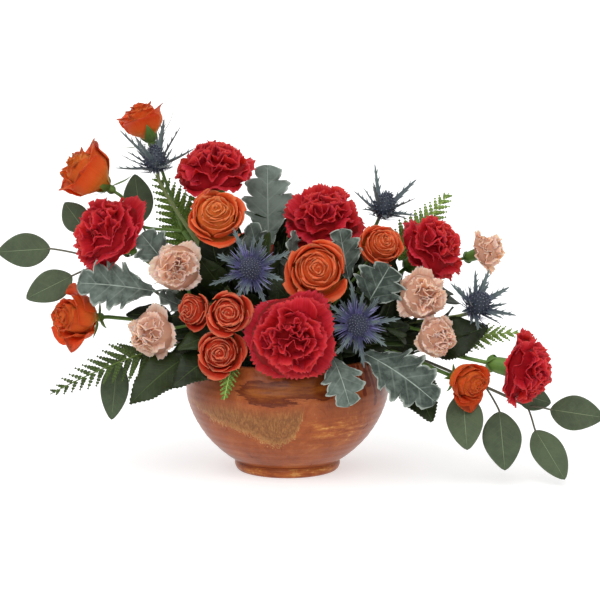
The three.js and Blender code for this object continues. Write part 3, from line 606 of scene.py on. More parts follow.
def rose_petals(b):
    """A whole rose: petals in a spiral of golden-angle turns, from a tight middle to broad outer
    petals that fall open, furthest on the side that hangs down. More open, the outer lips are wider
    and lower. Outer petals near the angles in flares turn to them and run out into a tip. A dome
    just under the lips closes the gaps between the petals; its darker tone is painted shade deep
    between them."""
    draw = dice(b["name"])
    spray = b["kind"] == "rose_spray"
    across, high, open_, flares = b["across"], b["high"], b.get("open_", 1.0), b.get("flares", ())
    count, gold = b.get("count", 22 if spray else 26), b.get("gold", 0.0 if spray else 0.12)
    down = b["stand"](np.zeros((1, 3)))[:, 2] - b["stand"](np.eye(3))[:, 2]
    radius = 0.53 * across
    parts, lips = [], []
    bud = smooth((0.8 - open_) / 0.3)
    spread = 0.6 + 0.25 * open_
    for k in range(count):
        t = (k + 0.5) / count
        outer = smooth((t - 0.55) / 0.45)
        turn = k * GOLDEN + draw.normal(0, 0.2)
        hang = outer * (math.cos(turn) * down[0] + math.sin(turn) * down[1])
        reach = radius * (0.02 + spread * t**1.12 + 0.16 * bud * outer**2) * (1 + 0.09 * hang)
        reach = reach + radius * draw.normal(0, 0.02)
        belly = radius * (0.05 + (0.7 + 0.08 * open_) * t**0.75)
        top = high * (0.97 - (0.05 + 0.35 * open_) * t**1.8)
        lips.append((reach, top))
        half = 0.92 + 1.3 * (1 - t) ** 2.2
        curl = radius * (2.0 * spread / count * smooth(t / 0.12) + 0.08 * outer)
        tip = radius * (0.02 + 0.34 * bud) * outer**2 * draw.uniform(0.1, 1.5)
        if flares:
            tip = 0.02 * radius
        for place in flares:
            off = (turn - place + math.pi) % TURN - math.pi
            if outer > 0.35 and abs(off) < 0.6:
                turn, tip = turn - off, 0.24 * radius * max(outer, 0.7)
        parts.append(rose_petal(
            radius, turn, draw.uniform(0, 1), reach,
            top * draw.uniform(0.975, 1.02) * (1 - 0.16 * max(hang, 0)), belly, half, curl, tip,
            draw.normal(0, 0.04), 1 + 0.5 * bud, gold * (1 - t),
        ))
    reach, top = np.array(lips[::2]).T
    inside = reach < 0.72 * radius * spread
    sunk = top - (0.07 + 0.07 * reach / radius) * across
    dome = [[0, sunk[0]], *np.stack([reach, sunk], 1)[inside], [0.7 * radius * spread, 0.3 * high]]
    # the dome's low tone is painted shade deep between the petals
    return [*parts, lathe(dome, 24, along=0.5, tone=0.25, vein=0.6 * gold)]


def sepal(turn, length, width, lift, curl, start):
    """A narrow green blade at the top of the hip: it leaves at about half of lift, bends up to
    lift, and its tip curls."""
    v, u = span(14, 5)
    half = width / 2 * np.sin(math.pi * np.clip(v, 0.02, 1) ** 0.6) ** 0.8 * (1 - 0.3 * v)
    bend = lift * (0.45 + 0.55 * v) + curl * v**3
    r = start + np.cumsum(np.cos(bend), 0) * length / 14
    z = np.cumsum(np.sin(bend), 0) * length / 14 - 1
    drop = 1.2 * np.abs(u) * half / width
    return patch(*swing(r, half * u, turn), z - drop, rim=np.abs(u), along=v, tone=0.6)


def rose_hip(b):
    """The swollen hip with its five sepals. sepals gives [turn, length, width, lift, curl] of each
    where the photograph shows them."""
    draw = dice(b["name"] + "hip")
    calyx, long = b["calyx"], b["across"] * (0.28 if b["kind"] == "rose_spray" else 0.34)
    hip = 0.5 * calyx + 0.6
    profile = [[0, -calyx], [0.5 * hip, -calyx + 0.4], [0.9 * hip, -0.72 * calyx],
               [hip, -0.45 * calyx], [0.92 * hip, -0.15 * calyx], [0.8 * hip, 0.4], [0, 1.6]]
    sepals = b.get("sepals") or [
        (TURN * k / 5 + draw.normal(0, 0.15), long * draw.uniform(0.8, 1.15), 0.1 * b["across"],
         0.3 + draw.normal(0, 0.3), draw.normal(-0.3, 0.5)) for k in range(5)
    ]
    return [lathe(profile, 20, tone=0.4)] + [sepal(*s, 0.6 * hip) for s in sepals]


# ---------------------------------------------------------------- carnations

# Each whorl's [petals, reach, top, half width, ruffle, crimp, fan], the first three lengths as
# shares of the bloom's radius and height.
BIG_WHORLS = [
    (5, 1.0, 0.26, 0.56, 0.55, 0.2, 0.5), (5, 0.9, 0.46, 0.52, 0.65, 0.25, 0.45),
    (5, 0.74, 0.72, 0.46, 0.75, 0.25, 0.35), (5, 0.54, 0.9, 0.4, 0.9, 0.25, 0.25),
    (5, 0.36, 1.0, 0.32, 1.0, 0.3, 0.2), (4, 0.17, 1.0, 0.26, 1.1, 0.35, 0.1),
]
SMALL_WHORLS = [
    (5, 1.0, 0.26, 0.46, 0.7, 0.4, 0.45), (5, 0.84, 0.5, 0.42, 0.9, 0.4, 0.5),
    (4, 0.66, 0.8, 0.36, 1.2, 0.5, 0.5), (4, 0.4, 1.0, 0.28, 1.4, 0.5, 0.4),
    (3, 0.18, 1.05, 0.24, 1.3, 0.5, 0.2),
]
TOOTH = 0.07


def ruffled_petal(turn, reach, top, knee, half, ruffle, teeth, phase, tone, lean, crimp, fan):
    """One petal like a fan. It climbs from the calyx and bends out at its knee; its blade is
    folded across by ruffles that grow to the lip, and its lip is an arc, the rounder the higher
    fan is, cut into uneven teeth."""
    v, u = span(13, 49)
    place = teeth * (u + 1) / 2 + 0.7 * np.sin(5 * u + 9 * phase) + 0.3 * np.sin(13 * u + phase)
    saw = np.abs(place % 1 - 0.5) * 2
    t = v * (1 - fan * (1 - np.sqrt(1 - 0.98 * u**2))) + TOOTH * (saw - 0.5) * v**10
    knee_r, knee_z = knee
    start = 1.5
    r = start * (1 - t) ** 2 + 2 * t * (1 - t) * knee_r + t * t * reach
    z = 2 * t * (1 - t) * knee_z + t * t * top
    dr = 2 * (1 - t) * (knee_r - start) + 2 * t * (reach - knee_r)
    dz = 2 * (1 - t) * knee_z + 2 * t * (top - knee_z)
    size = np.hypot(dr, dz) + 1e-6
    wave = ruffle * v**2 * (
        np.sin(1.5 * math.pi * u + TURN * phase) + crimp * np.sin(3.9 * math.pi * u + 5 * phase)
    ) + 0.035 * half * v**8 * np.sin(9 * math.pi * u + 7 * phase) * np.cos(4 * u + 3 * phase)
    r, z = r - dz / size * wave, z + dr / size * wave
    aside = half * (0.1 + 0.9 * smooth((v - 0.12) / 0.62)) * u
    aside = aside + 0.25 * wave * np.cos(6 * u) + lean * v
    return patch(
        *swing(r, aside, turn), z, rim=np.maximum(v**6, np.abs(u) ** 8 * v), along=v, tone=tone,
        grain=(0.5 + 0.5 * u, v),
    )


def carnation_petals(b, whorls, ruffle, teeth):
    """A carnation: whorls of ruffled petals, flat and wide outside, upright and crumpled inside,
    round a heart that closes the gaps between them, its darker tone painted shade deep in the bloom."""
    draw = dice(b["name"])
    radius, high = b["across"] / 2, b["high"]
    parts = []
    for count, reach, top, half, fold, crimp, fan in whorls:
        shift = draw.uniform(0, TURN)
        for i in range(count):
            turn = shift + TURN * (i + draw.normal(0, 0.17)) / count
            out = radius * reach * draw.uniform(0.78, 1.07)
            up = high * top * draw.uniform(0.8, 1.1)
            knee = (0.35 * out + 1.0, min(up * 0.9, high * (0.5 + 0.28 * (1 - reach))))
            parts.append(ruffled_petal(
                turn, out, up, knee, radius * half * draw.uniform(0.85, 1.12),
                ruffle * radius * fold * draw.uniform(0.6, 1.5), teeth, draw.uniform(0, 1),
                draw.uniform(0, 1), draw.normal(0, 0.1) * radius, crimp, fan,
            ))
    # the heart's low tone is painted shade deep between the petals
    heart = [(0, 0.78), (0.2, 0.77), (0.42, 0.66), (0.62, 0.44), (0.78, 0.22), (0.6, 0.1)]
    return [*parts, lathe([(r * radius, z * high) for r, z in heart], 20, along=0.45, tone=0.2)]


def carnation_calyx(b):
    """The long ribbed calyx tube, flared at its top, and small bracts round its foot."""
    calyx = b["calyx"]
    width = 0.37 * calyx
    outline = [(0, -1), (0.5, -1), (0.85, -0.8), (1, -0.5), (1.08, -0.15), (1.2, 0.12), (0.9, 0.1),
               (0, 0)]
    parts = [lathe([(r * width, z * calyx) for r, z in outline], 24, tone=0.6)]
    v, u = span(6, 5)
    half = 0.62 * width * np.sin(math.pi * np.clip(v + 0.12, 0, 1)) ** 0.7
    r = width * (0.62 + 0.42 * smooth(v * 1.5)) + 0.3 + 0.5 * v**3
    for k in range(4):
        x, y = swing(r, half * u, TURN * k / 4 + 0.3)
        parts.append(patch(x, y, -calyx + 0.38 * calyx * v, rim=np.abs(u), tone=0.8))
    return parts


# ---------------------------------------------------------------- sea hollies

FLORETS, OUTER_BRACTS, INNER_BRACTS = 120, 8, 10


def holly_cone(radius, high, violet):
    """The cone: an egg set with florets in a sunflower spiral, each a small six-sided peg with a pale
    tip."""
    t = np.linspace(0, 1, 15)
    egg = np.stack([0.9 * radius * np.sin(math.pi * t**0.8) ** 0.8, high * t], 1)
    egg[[0, -1], 0] = 0
    parts = [lathe(egg, 20, along=0.2, tone=0.0)]
    k = np.arange(FLORETS)
    t = 0.06 + 0.93 * (k + 0.5) / FLORETS
    angle = k * GOLDEN
    r = 0.9 * radius * np.sin(math.pi * t**0.8) ** 0.8
    out = unit(np.stack([np.cos(angle), np.sin(angle), -np.gradient(r, t * high)], 1))
    at = np.stack([r * np.cos(angle), r * np.sin(angle), high * t], 1)
    side = unit(np.cross(out, [0.01, 0.02, 1.0]))
    up = np.cross(side, out)
    # a peg's rings: radius, how far out and how pale
    rings = [(0.7, -0.3, 0), (0.78, 0.5, 0), (0.55, 1.8, 0.1), (0.34, 2.5, 0.9), (0.0, 2.7, 1)]
    wide, far, pale = np.array(rings, float).T[:, :, None]
    across, along = (wide * f(around(6)) for f in (np.cos, np.sin))
    for i in range(FLORETS):
        p = at[i] + out[i] * far[..., None] + side[i] * across[..., None] + up[i] * along[..., None]
        parts.append(patch(*np.moveaxis(p, -1, 0), rim=pale, along=violet, tone=0.15, closed=True))
    return parts


def holly_bract(reach, turn, rise, width, spines, violet, tone, bend=0.0):
    """A stiff bract, folded along its rib. Its edges run out into thin spines swept to the tip."""
    step = 6
    rows = spines * step + 5
    v, u = span(rows, 7)
    k = np.arange(rows)[:, None]
    spine = ((k % step) == 3) & (k < rows - 3)
    plain = width * (0.4 + 0.6 * smooth(v / 0.3)) * (1 - v) ** 0.6 + 0.15
    half = np.where(spine, plain + 0.75 * width * (1.2 - 0.6 * v), plain)
    half[-1] = 0.05
    far = 3 + (reach - 3) * (v + np.where(spine, 0.09 * np.abs(u) ** 2, 0))
    lift = rise * far + bend * far * far / reach
    z = 2 + lift + 0.7 * np.abs(half * u) + 0.6 * np.sin(5 * v + tone * 9)
    rim = np.where(np.abs(u) < 0.1, 0.85, 0.3 + 0.7 * np.abs(u) ** 2)
    colour = violet * (1 - smooth(v / 0.75)) + 0.09
    return patch(*swing(far, -half * u, turn), z, rim=rim * (0.5 + 0.5 * v), along=colour, tone=tone)


def holly_needles(draw, count, low, high, head, violet):
    """Short fine bracts that crowd round the cone's foot: thin tapered needles."""
    parts = []
    v, u = span(6, 3)
    half = 0.75 * (1 - v) ** 0.7 + 0.04
    for _ in range(count):
        turn, reach, rise = draw.uniform(0, TURN), draw.uniform(low, high), draw.uniform(0.15, 0.95)
        x, y = swing(head * 0.3 + reach * v, -half * u, turn)
        z = 1.5 + rise * reach * v - 0.35 * np.abs(u) * half
        parts.append(patch(x, y, z, rim=0.25 + 0.6 * v, along=violet, tone=draw.uniform(0, 1)))
    return parts


# ---------------------------------------------------------------- leaves


def axes(base, tip, face):
    """A leaf's start, the way along it, its length, and the directions to its side and up."""
    start = np.asarray(base, float)
    along = np.asarray(tip, float) - start
    side = unit(np.cross(along, face))
    return start, along, np.linalg.norm(along), side, unit(np.cross(side, along))


def leaf(
    shape, base, tip, face, width, arch, rows, columns, cup, tone, spacing, wave=0.0, slope=1.0,
    phase=0.0, waves=1.6,
):
    """A blade from base to tip, its upper side towards face. shape(v, u) gives the half width as a
    share of width and how far the edge is swept to the tip as a share of length. arch lifts the
    middle of its length, cup lifts its edges and wave ripples them, waves times along it. Side
    veins leave the rib at slope, spacing apart."""
    start, along, length, side, up = axes(base, tip, face)
    v, u = span(rows, columns)
    share, sweep = shape(v, u)
    half = width * share
    t = v + sweep
    lift = arch * length * 4 * t * (1 - t) + cup * np.abs(half * u) ** 1.3 / max(width, 1) ** 0.3
    lift = lift + wave * np.sin(TURN * (waves * t + phase) + 1.5 * np.sign(u)) * np.abs(u) ** 2
    at = start + along * t[..., None] + side * (half * u)[..., None] + up * lift[..., None]
    vein = (t * length - np.abs(half * u) * slope) / spacing
    return patch(
        *np.moveaxis(at, -1, 0), rim=np.abs(u) + 0 * v, along=v, vein=vein, tone=tone,
        grain=(0.5 + half * u / 100, t * length / 100),
    )


def oval(v, u):
    """Silver-dollar eucalyptus: a rounded oval with a short point."""
    half = 0.5 * np.sin(math.pi * v**0.92) ** 0.72 * (1 - 0.14 * v) + 0.012
    return half * np.where(v > 0.985, 0.3, 1), 0 * v * u


def serrate(v, u):
    """Salal: a broad base, a long taper to a point and a finely toothed edge."""
    tooth = 0.035 * (1 - 2 * np.abs((v * 19.5) % 1 - 0.5)) * np.abs(u) ** 4
    return 0.5 * np.sin(math.pi * v**0.72) ** 0.82 * (1 - 0.1 * v) + 0.008 + tooth, 0 * v * u


def blunt(v, u):
    """One of a fern leaflet's lobes: an oval with a rounded end."""
    return 0.5 * np.sin(math.pi * np.clip(v, 0.06, 1) ** 0.8) ** 0.6, 0 * v * u


def lobed(lobes):
    """Dusty miller: rounded lobes, themselves scalloped, cut towards the rib and swept to the tip."""
    deep = 0.48

    def shape(v, u):
        outline = (0.3 + 0.7 * smooth(v / 0.42)) * (1 - 0.5 * smooth((v - 0.58) / 0.42))
        phase = lobes * v**0.95 - 0.15 + 0.08 * np.sign(u) * np.sin(9 * v)
        lobe = np.abs(np.sin(math.pi * phase)) ** 0.7
        scallop = 0.14 * np.abs(np.sin(math.pi * (3 * phase + 0.2))) * (1 - v) ** 0.4
        end = np.sqrt(np.clip((1 - v) / 0.1, 0, 1))
        half = 0.5 * outline * ((0.93 - deep) + deep * lobe + scallop) * end + 0.012
        return half, 0.7 / lobes * lobe * np.abs(u) ** 1.5 * (1 - v) ** 0.5
    return shape


def broad(shape, sprig, b, **looks):
    """One broad leaf of a sprig, its shade drawn where looks gives none."""
    draw = dice(sprig["name"] + str(b["base"]))
    looks = looks if "tone" in looks else {"tone": draw.uniform(0.2, 0.8), **looks}
    return [leaf(
        shape, b["base"], b["tip"], b["face"], b["width"], b["arch"], phase=draw.uniform(0, 1), **looks
    )]


def felted(sprig, b):
    lobes = b["lobes"]
    return broad(
        lobed(lobes), sprig, b, rows=121, columns=25, cup=0.16, wave=2.2, tone=b.get("tone", 0.5),
        slope=0.9, spacing=math.dist(b["base"], b["tip"]) / lobes / 1.05, waves=lobes,
    )


def waxy(sprig, b):
    return broad(oval, sprig, b, rows=40, columns=13, cup=0.05, wave=0.6, slope=0.8, spacing=6)


def leathery(sprig, b):
    return broad(
        serrate, sprig, b, rows=79, columns=13, cup=0.14, wave=1.6, slope=0.9, spacing=8, waves=2.6
    )


def frond(sprig, b):
    """A leatherleaf frond: an arched rib with pairs of leaflets, shorter towards the tip and swept
    forward. Each leaflet has a rib of its own and is cut into small blunt lobes, long as a share of
    the leaflet's reach and shorter towards its end."""
    draw = dice(sprig["name"] + str(b["base"]))
    tone, share = sprig.get("tone", 0.5), 0.12 if sprig.get("dark") else 0.14
    start, along, length, side, up = axes(b["base"], b["tip"], b["face"])
    ahead = along / length
    arch, count = b["arch"], b["leaflets"] + 2
    t = np.linspace(0, 1, 24)
    rib = start + along * t[:, None] + up * (arch * length * 4 * t * (1 - t))[:, None]
    parts = [tube(rib, 0.8 * (1 - 0.75 * t) + 0.12, 6)]
    for k in range(count):
        t = (k + 0.6) / (count + 0.4)
        root = start + along * t + up * arch * length * 4 * t * (1 - t)
        outline = 0.5 * b["width"] * (1 - t) ** 0.8 * min(1, 0.6 + 2.2 * t)
        for hand in (-1, 1):
            reach = outline * draw.uniform(0.92, 1.05) + 1.5
            way = unit(side * hand * 0.8 + ahead * (0.62 + 0.2 * t) + up * draw.normal(-0.1, 0.1))
            where = root + ahead * hand * 0.18 * length / count
            shade = tone + draw.normal(0, 0.2)
            parts.append(tube([where, where + 0.5 * way * reach, where + way * reach], 0.35, 4))
            aside = unit(np.cross(up, way))
            pairs = max(3, int(reach / 3.2))
            for j in range(pairs + 1):
                s = (j + 0.5) / (pairs + 0.5)
                long = share * reach * (1.15 - s) ** 0.8 + 1.0
                wide = 0.65 * long + 3.2 - 1.8 * s
                for way_out in (-1, 1) if j < pairs else (0,):
                    turn = unit(aside * way_out * 0.85 + way * 0.7 + up * draw.normal(0, 0.12))
                    foot = where + way * reach * s
                    parts.append(leaf(
                        blunt, foot, foot + turn * long, up + 0.15 * aside, wide, 0.0, rows=6,
                        columns=3, cup=0.2, tone=shade, spacing=50,
                    ))
    return parts


# ---------------------------------------------------------------- what stands where
# The same places as the part's source, in millimetres.

# the kinds of bloom, and how long each one's calyx is
CALYX = {"rose_spray": 6, "rose": 8, "carnation": 22, "mini_carnation": 15, "sea_holly": 0}


def bloom(name, at, faces, across, high, **more):
    """A bloom: at is its centre, faces the way it looks, root its stem's place on the foam's top and
    via the points that bend its stem clear of its neighbours. base is where its petals leave the
    calyx, and stand the move that stands them there. open_ says how far a rose is open, count how
    many petals it has and gold how golden its middle is. A sea holly has a head, this wide, outer
    bracts of two kinds, [reach, rise] each, from turn on, and violet, how violet it is."""
    kind = next(k for k in CALYX if name.startswith(k))
    at, faces = np.array(at, float), unit(faces)
    base = at - faces * high / 2
    return dict(
        name=name, kind=kind, calyx=CALYX[kind], at=at, faces=faces, across=across, high=high,
        base=base, stand=standing(base, faces), **more,
    )


def plant(name, root, twig, **more):
    """A twig from its root on the foam's top through the points of twig, and its leaves."""
    return dict(name=name, root=root, twig=twig, **more)


def blade(base, tip, face, width, arch=0.0, **more):
    """A leaf's place: its stalk leaves the twig's point number start, the last if none is given."""
    return dict(base=base, tip=tip, face=face, width=width, arch=arch, **more)


BLOOMS = [
    bloom("rose_crown", (-143, 20, 348), (-0.33, -0.1, 0.93), 50, 42, open_=0.4, count=16,
          flares=(6.0, 3.4), sepals=[(-1.4, 32, 15, 1.0, 0.25), (-0.2, 46, 5, 0.9, 0.4),
          (3.3, 36, 5.5, 0.2, 0.5), (1.2, 28, 8, 1.1, 0.2), (2.2, 26, 7, 0.9, 0.2)]),
    bloom("rose_upper_left", (-197, -15, 300), (-0.78, -0.2, 0.58), 64, 52, via=[(-150, 24, 244)],
          gold=0.4, open_=0.5, count=17, flares=(0.0, 3.3), sepals=[(-0.25, 32, 5, -0.8, 1.6),
          (1.2, 24, 8, 1.0, 0), (2.5, 22, 8, 1.1, 0.2), (-1.5, 20, 10, 1.1, 0.1),
          (-2.7, 22, 8, 1.1, 0.2)]),
    bloom("rose_high_centre", (-69, -54, 262), (0.03, -0.8, 0.6), 60, 38, root=(-22, -10), count=24,
          gold=0.5),
    bloom("rose_heart", (29, -84, 213), (0, -0.96, 0.27), 62, 40),
    bloom("rose_high_right", (92, -48, 232), (0.3, -0.78, 0.5), 46, 34),
    bloom("rose_left", (-206, -46, 161), (-0.75, -0.62, 0.1), 58, 48, open_=0.55, root=(-46, -16),
          count=18, flares=(0.4, 3.95)),
    bloom("rose_low_right", (175, -85, 104), (0.55, -0.8, -0.08), 44, 38, open_=0.6, root=(42, -38),
          via=[(96, -56, 131)], count=19, flares=(5.5, 1.6)),
    bloom("rose_back", (62, 98, 196), (0.25, 0.9, 0.35), 54, 38, root=(18, 32)),
    bloom("rose_spray_left", (-90, -80, 173), (-0.55, -0.8, 0.15), 36, 28),
    bloom("rose_spray_top", (-56, -106, 175), (0.05, -0.98, 0.15), 44, 30),
    bloom("rose_spray_low", (-64, -96, 135), (-0.05, -0.98, 0.08), 48, 30),
    bloom("carnation_left", (-179, -35, 246), (-0.6, -0.55, 0.55), 88, 42, root=(-42, -4)),
    bloom("carnation_top", (-73, 0, 305), (-0.1, -0.25, 0.95), 92, 40, root=(-20, 10)),
    bloom("carnation_centre", (36, -10, 257), (0.05, -0.5, 0.85), 90, 42, root=(8, 8)),
    bloom("carnation_right", (146, -20, 229), (0.65, -0.45, 0.6), 84, 40, root=(34, 2)),
    bloom("carnation_heart", (5, -114, 152), (0.05, -0.97, 0.1), 97, 40, root=(4, -36)),
    bloom("carnation_low_right", (235, -65, 110), (0.9, -0.35, -0.15), 81, 40, root=(50, -24),
          via=[(100, -36, 134)]),
    bloom("carnation_back", (-44, 96, 200), (-0.2, 0.85, 0.5), 78, 40, root=(-14, 34)),
    bloom("mini_carnation_left", (-107, -75, 215), (-0.1, -0.95, 0.25), 56, 30),
    bloom("mini_carnation_low_left", (-134, -75, 149), (-0.5, -0.84, 0), 56, 30),
    bloom("mini_carnation_right", (133, -77, 187), (0.35, -0.9, 0.2), 56, 30),
    bloom("mini_carnation_low_right", (147, -82, 146), (0.4, -0.88, -0.05), 48, 28),
    bloom("mini_carnation_far_right", (202, 5, 221), (0.85, -0.35, 0.35), 46, 26),
    bloom("sea_holly_upper_left", (-130, -8, 313), (-0.15, -0.15, 0.97), 50, 28, head=24,
          bracts=[(43, 0.3), (34, 1.3)], turn=0.4, root=(-32, -2), violet=0.15),
    bloom("sea_holly_centre", (-35, -86, 215), (0, -0.95, 0.3), 50, 24, head=20, bracts=[(43, 0.24),
          (34, 0.5)], turn=0.4, root=(-8, -20), violet=0.95),
    bloom("sea_holly_front_right", (68, -94, 161), (0.05, -0.97, 0.1), 50, 24, head=20,
          bracts=[(42, 0.24), (34, 0.5)], turn=0.2, root=(24, -34), violet=1.0),
    bloom("sea_holly_upper_right", (97, 5, 266), (0.35, -0.3, 0.88), 50, 28, head=22,
          bracts=[(34, 0.4), (32, 1.25)], turn=0, root=(22, 10), violet=0.3),
    bloom("sea_holly_right", (188, -52, 176), (0.4, -0.6, 0.5), 50, 28, head=22, bracts=[(38, 0.5),
          (28, 1.1)], turn=0, root=(48, -8), violet=0.4),
]
BRANCHED_STEMS = [
    ("rose_stem_upper_left", (-32, 16), (-104, 4, 240), ["rose_crown", "rose_upper_left"]),
    ("rose_stem_centre", (18, -14), (44, -30, 168), ["rose_heart", "rose_high_right"]),
    ("rose_stem_spray", (-26, -38), (-46, -54, 150),
     ["rose_spray_left", "rose_spray_top", "rose_spray_low"]),
    ("mini_carnation_stem_left", (-38, -30), (-86, -46, 154),
     ["mini_carnation_left", "mini_carnation_low_left"]),
    ("mini_carnation_stem_right", (38, -20), (92, -30, 156),
     ["mini_carnation_right", "mini_carnation_low_right", "mini_carnation_far_right"]),
]
DUSTY_MILLER = [
    plant("dusty_miller_centre", (-6, 0), [(-12, -6, 170), (-18, 8, 212)], leaves=[
        blade((-19, 14, 222), (-20, 34, 303), (0, -1, 0.1), 50, lobes=5, tone=0.9),
        blade((-22, -22, 200), (-36, -38, 252), (0.3, -1, 0.1), 30, lobes=4, start=0),
        blade((2, -38, 200), (6, -46, 246), (1, -0.6, 0), 26, lobes=4, start=0),
    ]),
    plant("dusty_miller_left", (-36, -14), [(-78, -24, 166), (-112, -36, 186)], leaves=[
        blade((-130, -48, 187), (-203, -62, 197), (-0.1, -0.85, 0.5), 52, lobes=5, arch=0.05),
        blade((-118, -40, 212), (-142, -45, 243), (0, -1, 0.1), 38, lobes=3),
        blade((-96, -42, 168), (-124, -62, 184), (0.2, -0.7, 0.7), 24, lobes=3, start=0),
    ]),
    plant("dusty_miller_right", (34, -44), [(62, -60, 142), (74, -62, 168)], leaves=[
        blade((60, -58, 200), (51, -58, 249), (0.1, -1, 0.1), 36, lobes=4, tone=0.3),
        blade((76, -68, 174), (99, -78, 216), (0.2, -1, 0.3), 52, lobes=4, tone=0.15),
        blade((44, -86, 128), (60, -118, 87), (0.1, -0.9, 0.4), 40, lobes=4, start=0, arch=0.12,
              tone=0.5),
        blade((74, -84, 132), (142, -112, 89), (0.1, -0.8, 0.6), 58, lobes=5, start=0, arch=0.08,
              tone=0.25),
    ]),
]

EUCALYPTUS = [
    plant("eucalyptus_left", (-56, 2), [(-100, 0, 156), (-140, -4, 186), (-180, -2, 208)], leaves=[
        blade((-235, -10, 224), (-286, -20, 222), (0, -0.9, 0.4), 37),
        blade((-213, -18, 198), (-257, -30, 177), (0, -0.9, 0.4), 34),
        blade((-201, 2, 240), (-222, 8, 268), (-0.3, -1, 0.1), 30),
        blade((-146, 8, 248), (-152, 12, 296), (0.3, -1, 0), 32, start=0),
        blade((-167, -45, 116), (-172, -62, 62), (0.1, -1, 0.1), 29, start=0),
    ]),
    plant("eucalyptus_right", (58, -16), [(110, -28, 124), (196, -38, 90), (238, -36, 70)], leaves=[
        blade((171, -68, 90), (174, -100, 40), (0, -0.9, 0.4), 38, start=1),
        blade((208, -62, 70), (211, -96, 19), (0, -0.9, 0.4), 40, start=1),
        blade((244, -56, 50), (270, -88, 8), (0.2, -0.9, 0.4), 35),
        blade((260, -42, 68), (310, -62, 64), (0, -0.9, 0.4), 37),
        blade((226, -36, 84), (262, -30, 72), (0, -0.9, 0.4), 28),
    ]),
]

FERNS = [
    plant("fern_left", (-58, -24), [(-92, -42, 134), (-112, -50, 134)], dark=True, leaves=[
        blade((-116, -50, 134), (-230, -76, 90), (0, -0.8, 0.6), 66, leaflets=11, arch=0.06),
    ]),
    plant("fern_upper_left", (-44, 30), [(-72, 32, 190), (-79, 31, 200)], tone=0.3, leaves=[
        blade((-80, 31, 204), (-134, 38, 294), (0.2, -1, 0), 84, leaflets=10, arch=0.04),
        blade((-78, 34, 206), (-96, 44, 296), (0.2, -1, 0), 60, leaflets=9, arch=0.03),
    ]),
    plant("fern_upper_right", (36, 16), [(84, 28, 180), (106, 30, 203)], leaves=[
        blade((108, 30, 206), (163, 34, 275), (0.2, -1, 0.2), 62, leaflets=10, arch=0.05),
    ]),
    plant("fern_low_right", (60, 0), [(104, -8, 134), (137, -13, 129)], leaves=[
        blade((140, -14, 128), (231, -32, 143), (0, -0.6, 0.8), 64, leaflets=10, arch=0.04),
    ]),
    plant("fern_rim", (-40, -51), [(-48, -70, 132), (-52, -77, 128)], tone=0.0, leaves=[
        blade((-52, -78, 127), (-60, -108, 91), (0, -1, 0.6), 24, leaflets=6),
    ]),
]

SALAL = [
    plant("salal_left", (-42, -44), [(-66, -54, 132), (-92, -58, 134)], leaves=[
        blade((-99, -67, 125), (-151, -95, 84), (0, -0.7, 0.7), 42, arch=0.06),
        blade((-66, -66, 130), (-110, -102, 102), (0.1, -0.7, 0.7), 38, arch=0.06, start=0),
    ]),
    plant("salal_right", (55, -34), [(86, -37, 131), (116, -42, 121)], leaves=[
        blade((116, -70, 112), (140, -100, 68), (0, -0.8, 0.6), 40, arch=0.05),
        blade((140, -46, 130), (197, -46, 152), (0.1, -0.8, 0.5), 40),
    ]),
    plant("salal_back_left", (-34, 36), [(-56, 56, 140), (-70, 66, 152)], leaves=[
        blade((-76, 70, 156), (-130, 96, 176), (-0.2, 0.4, 0.9), 44, arch=0.08),
        blade((-60, 66, 148), (-96, 116, 128), (-0.2, 0.5, 0.8), 40, arch=0.1),
        blade((-48, 50, 166), (-42, 44, 234), (0, -1, 0.2), 42),
    ]),
    plant("salal_back_right", (38, 36), [(72, 54, 142), (94, 62, 152)], leaves=[
        blade((100, 66, 154), (154, 90, 164), (0.2, 0.4, 0.9), 44, arch=0.08),
        blade((84, 64, 146), (118, 112, 126), (0.2, 0.5, 0.8), 40, arch=0.1),
        blade((44, 46, 160), (50, 44, 224), (0, -1, 0.2), 46),
    ]),
]

# ---------------------------------------------------------------- making the pieces


def rooted(root):
    """The first two points of a stem, upright in the foam."""
    return [(*root, FOAM_TOP - ROOT_DEPTH + 1), (*root, FOAM_TOP - 2)]


def arrival(b):
    """A stem's points up to a bloom, where it arrives along the bloom's axis."""
    base, faces, calyx = b["base"], b["faces"], b["calyx"]
    return [*b.get("via", []), base - faces * (calyx + 9), base + faces * (0.5 - 0.7 * calyx)]


def make_petals(b):
    """A rose's or carnation's petals."""
    kind, thick = b["kind"], 0.3
    if kind == "carnation":
        parts, finish = carnation_petals(b, BIG_WHORLS, 0.14, 10), CARNATION
    elif kind == "mini_carnation":
        parts, finish = carnation_petals(b, SMALL_WHORLS, 0.1, 6), MINI_CARNATION
    else:
        parts, thick = rose_petals(b), 0.6
        finish = SPRAY_ROSE if kind == "rose_spray" else BUD_ROSE if "open_" in b else ROSE
    piece(b["name"] + "_petals", moved(parts, b["stand"]), finish, [b["name"]], thick)


def make_stem(name, root, blooms, fork=None):
    """A stem to one bloom, or one that forks to several, with their calyces."""
    rose = name.startswith("rose")
    parts = [tube(route([*rooted(root), fork]), STEM)] if fork else []
    for b in blooms:
        way = [fork] if fork else rooted(root)
        parts.append(tube(route([*way, *arrival(b)]), ARM if fork else STEM))
        parts += moved(rose_hip(b) if rose else carnation_calyx(b), b["stand"])
    piece(name + "_green", parts, ROSE_GREEN if rose else CARNATION_GREEN, [name])


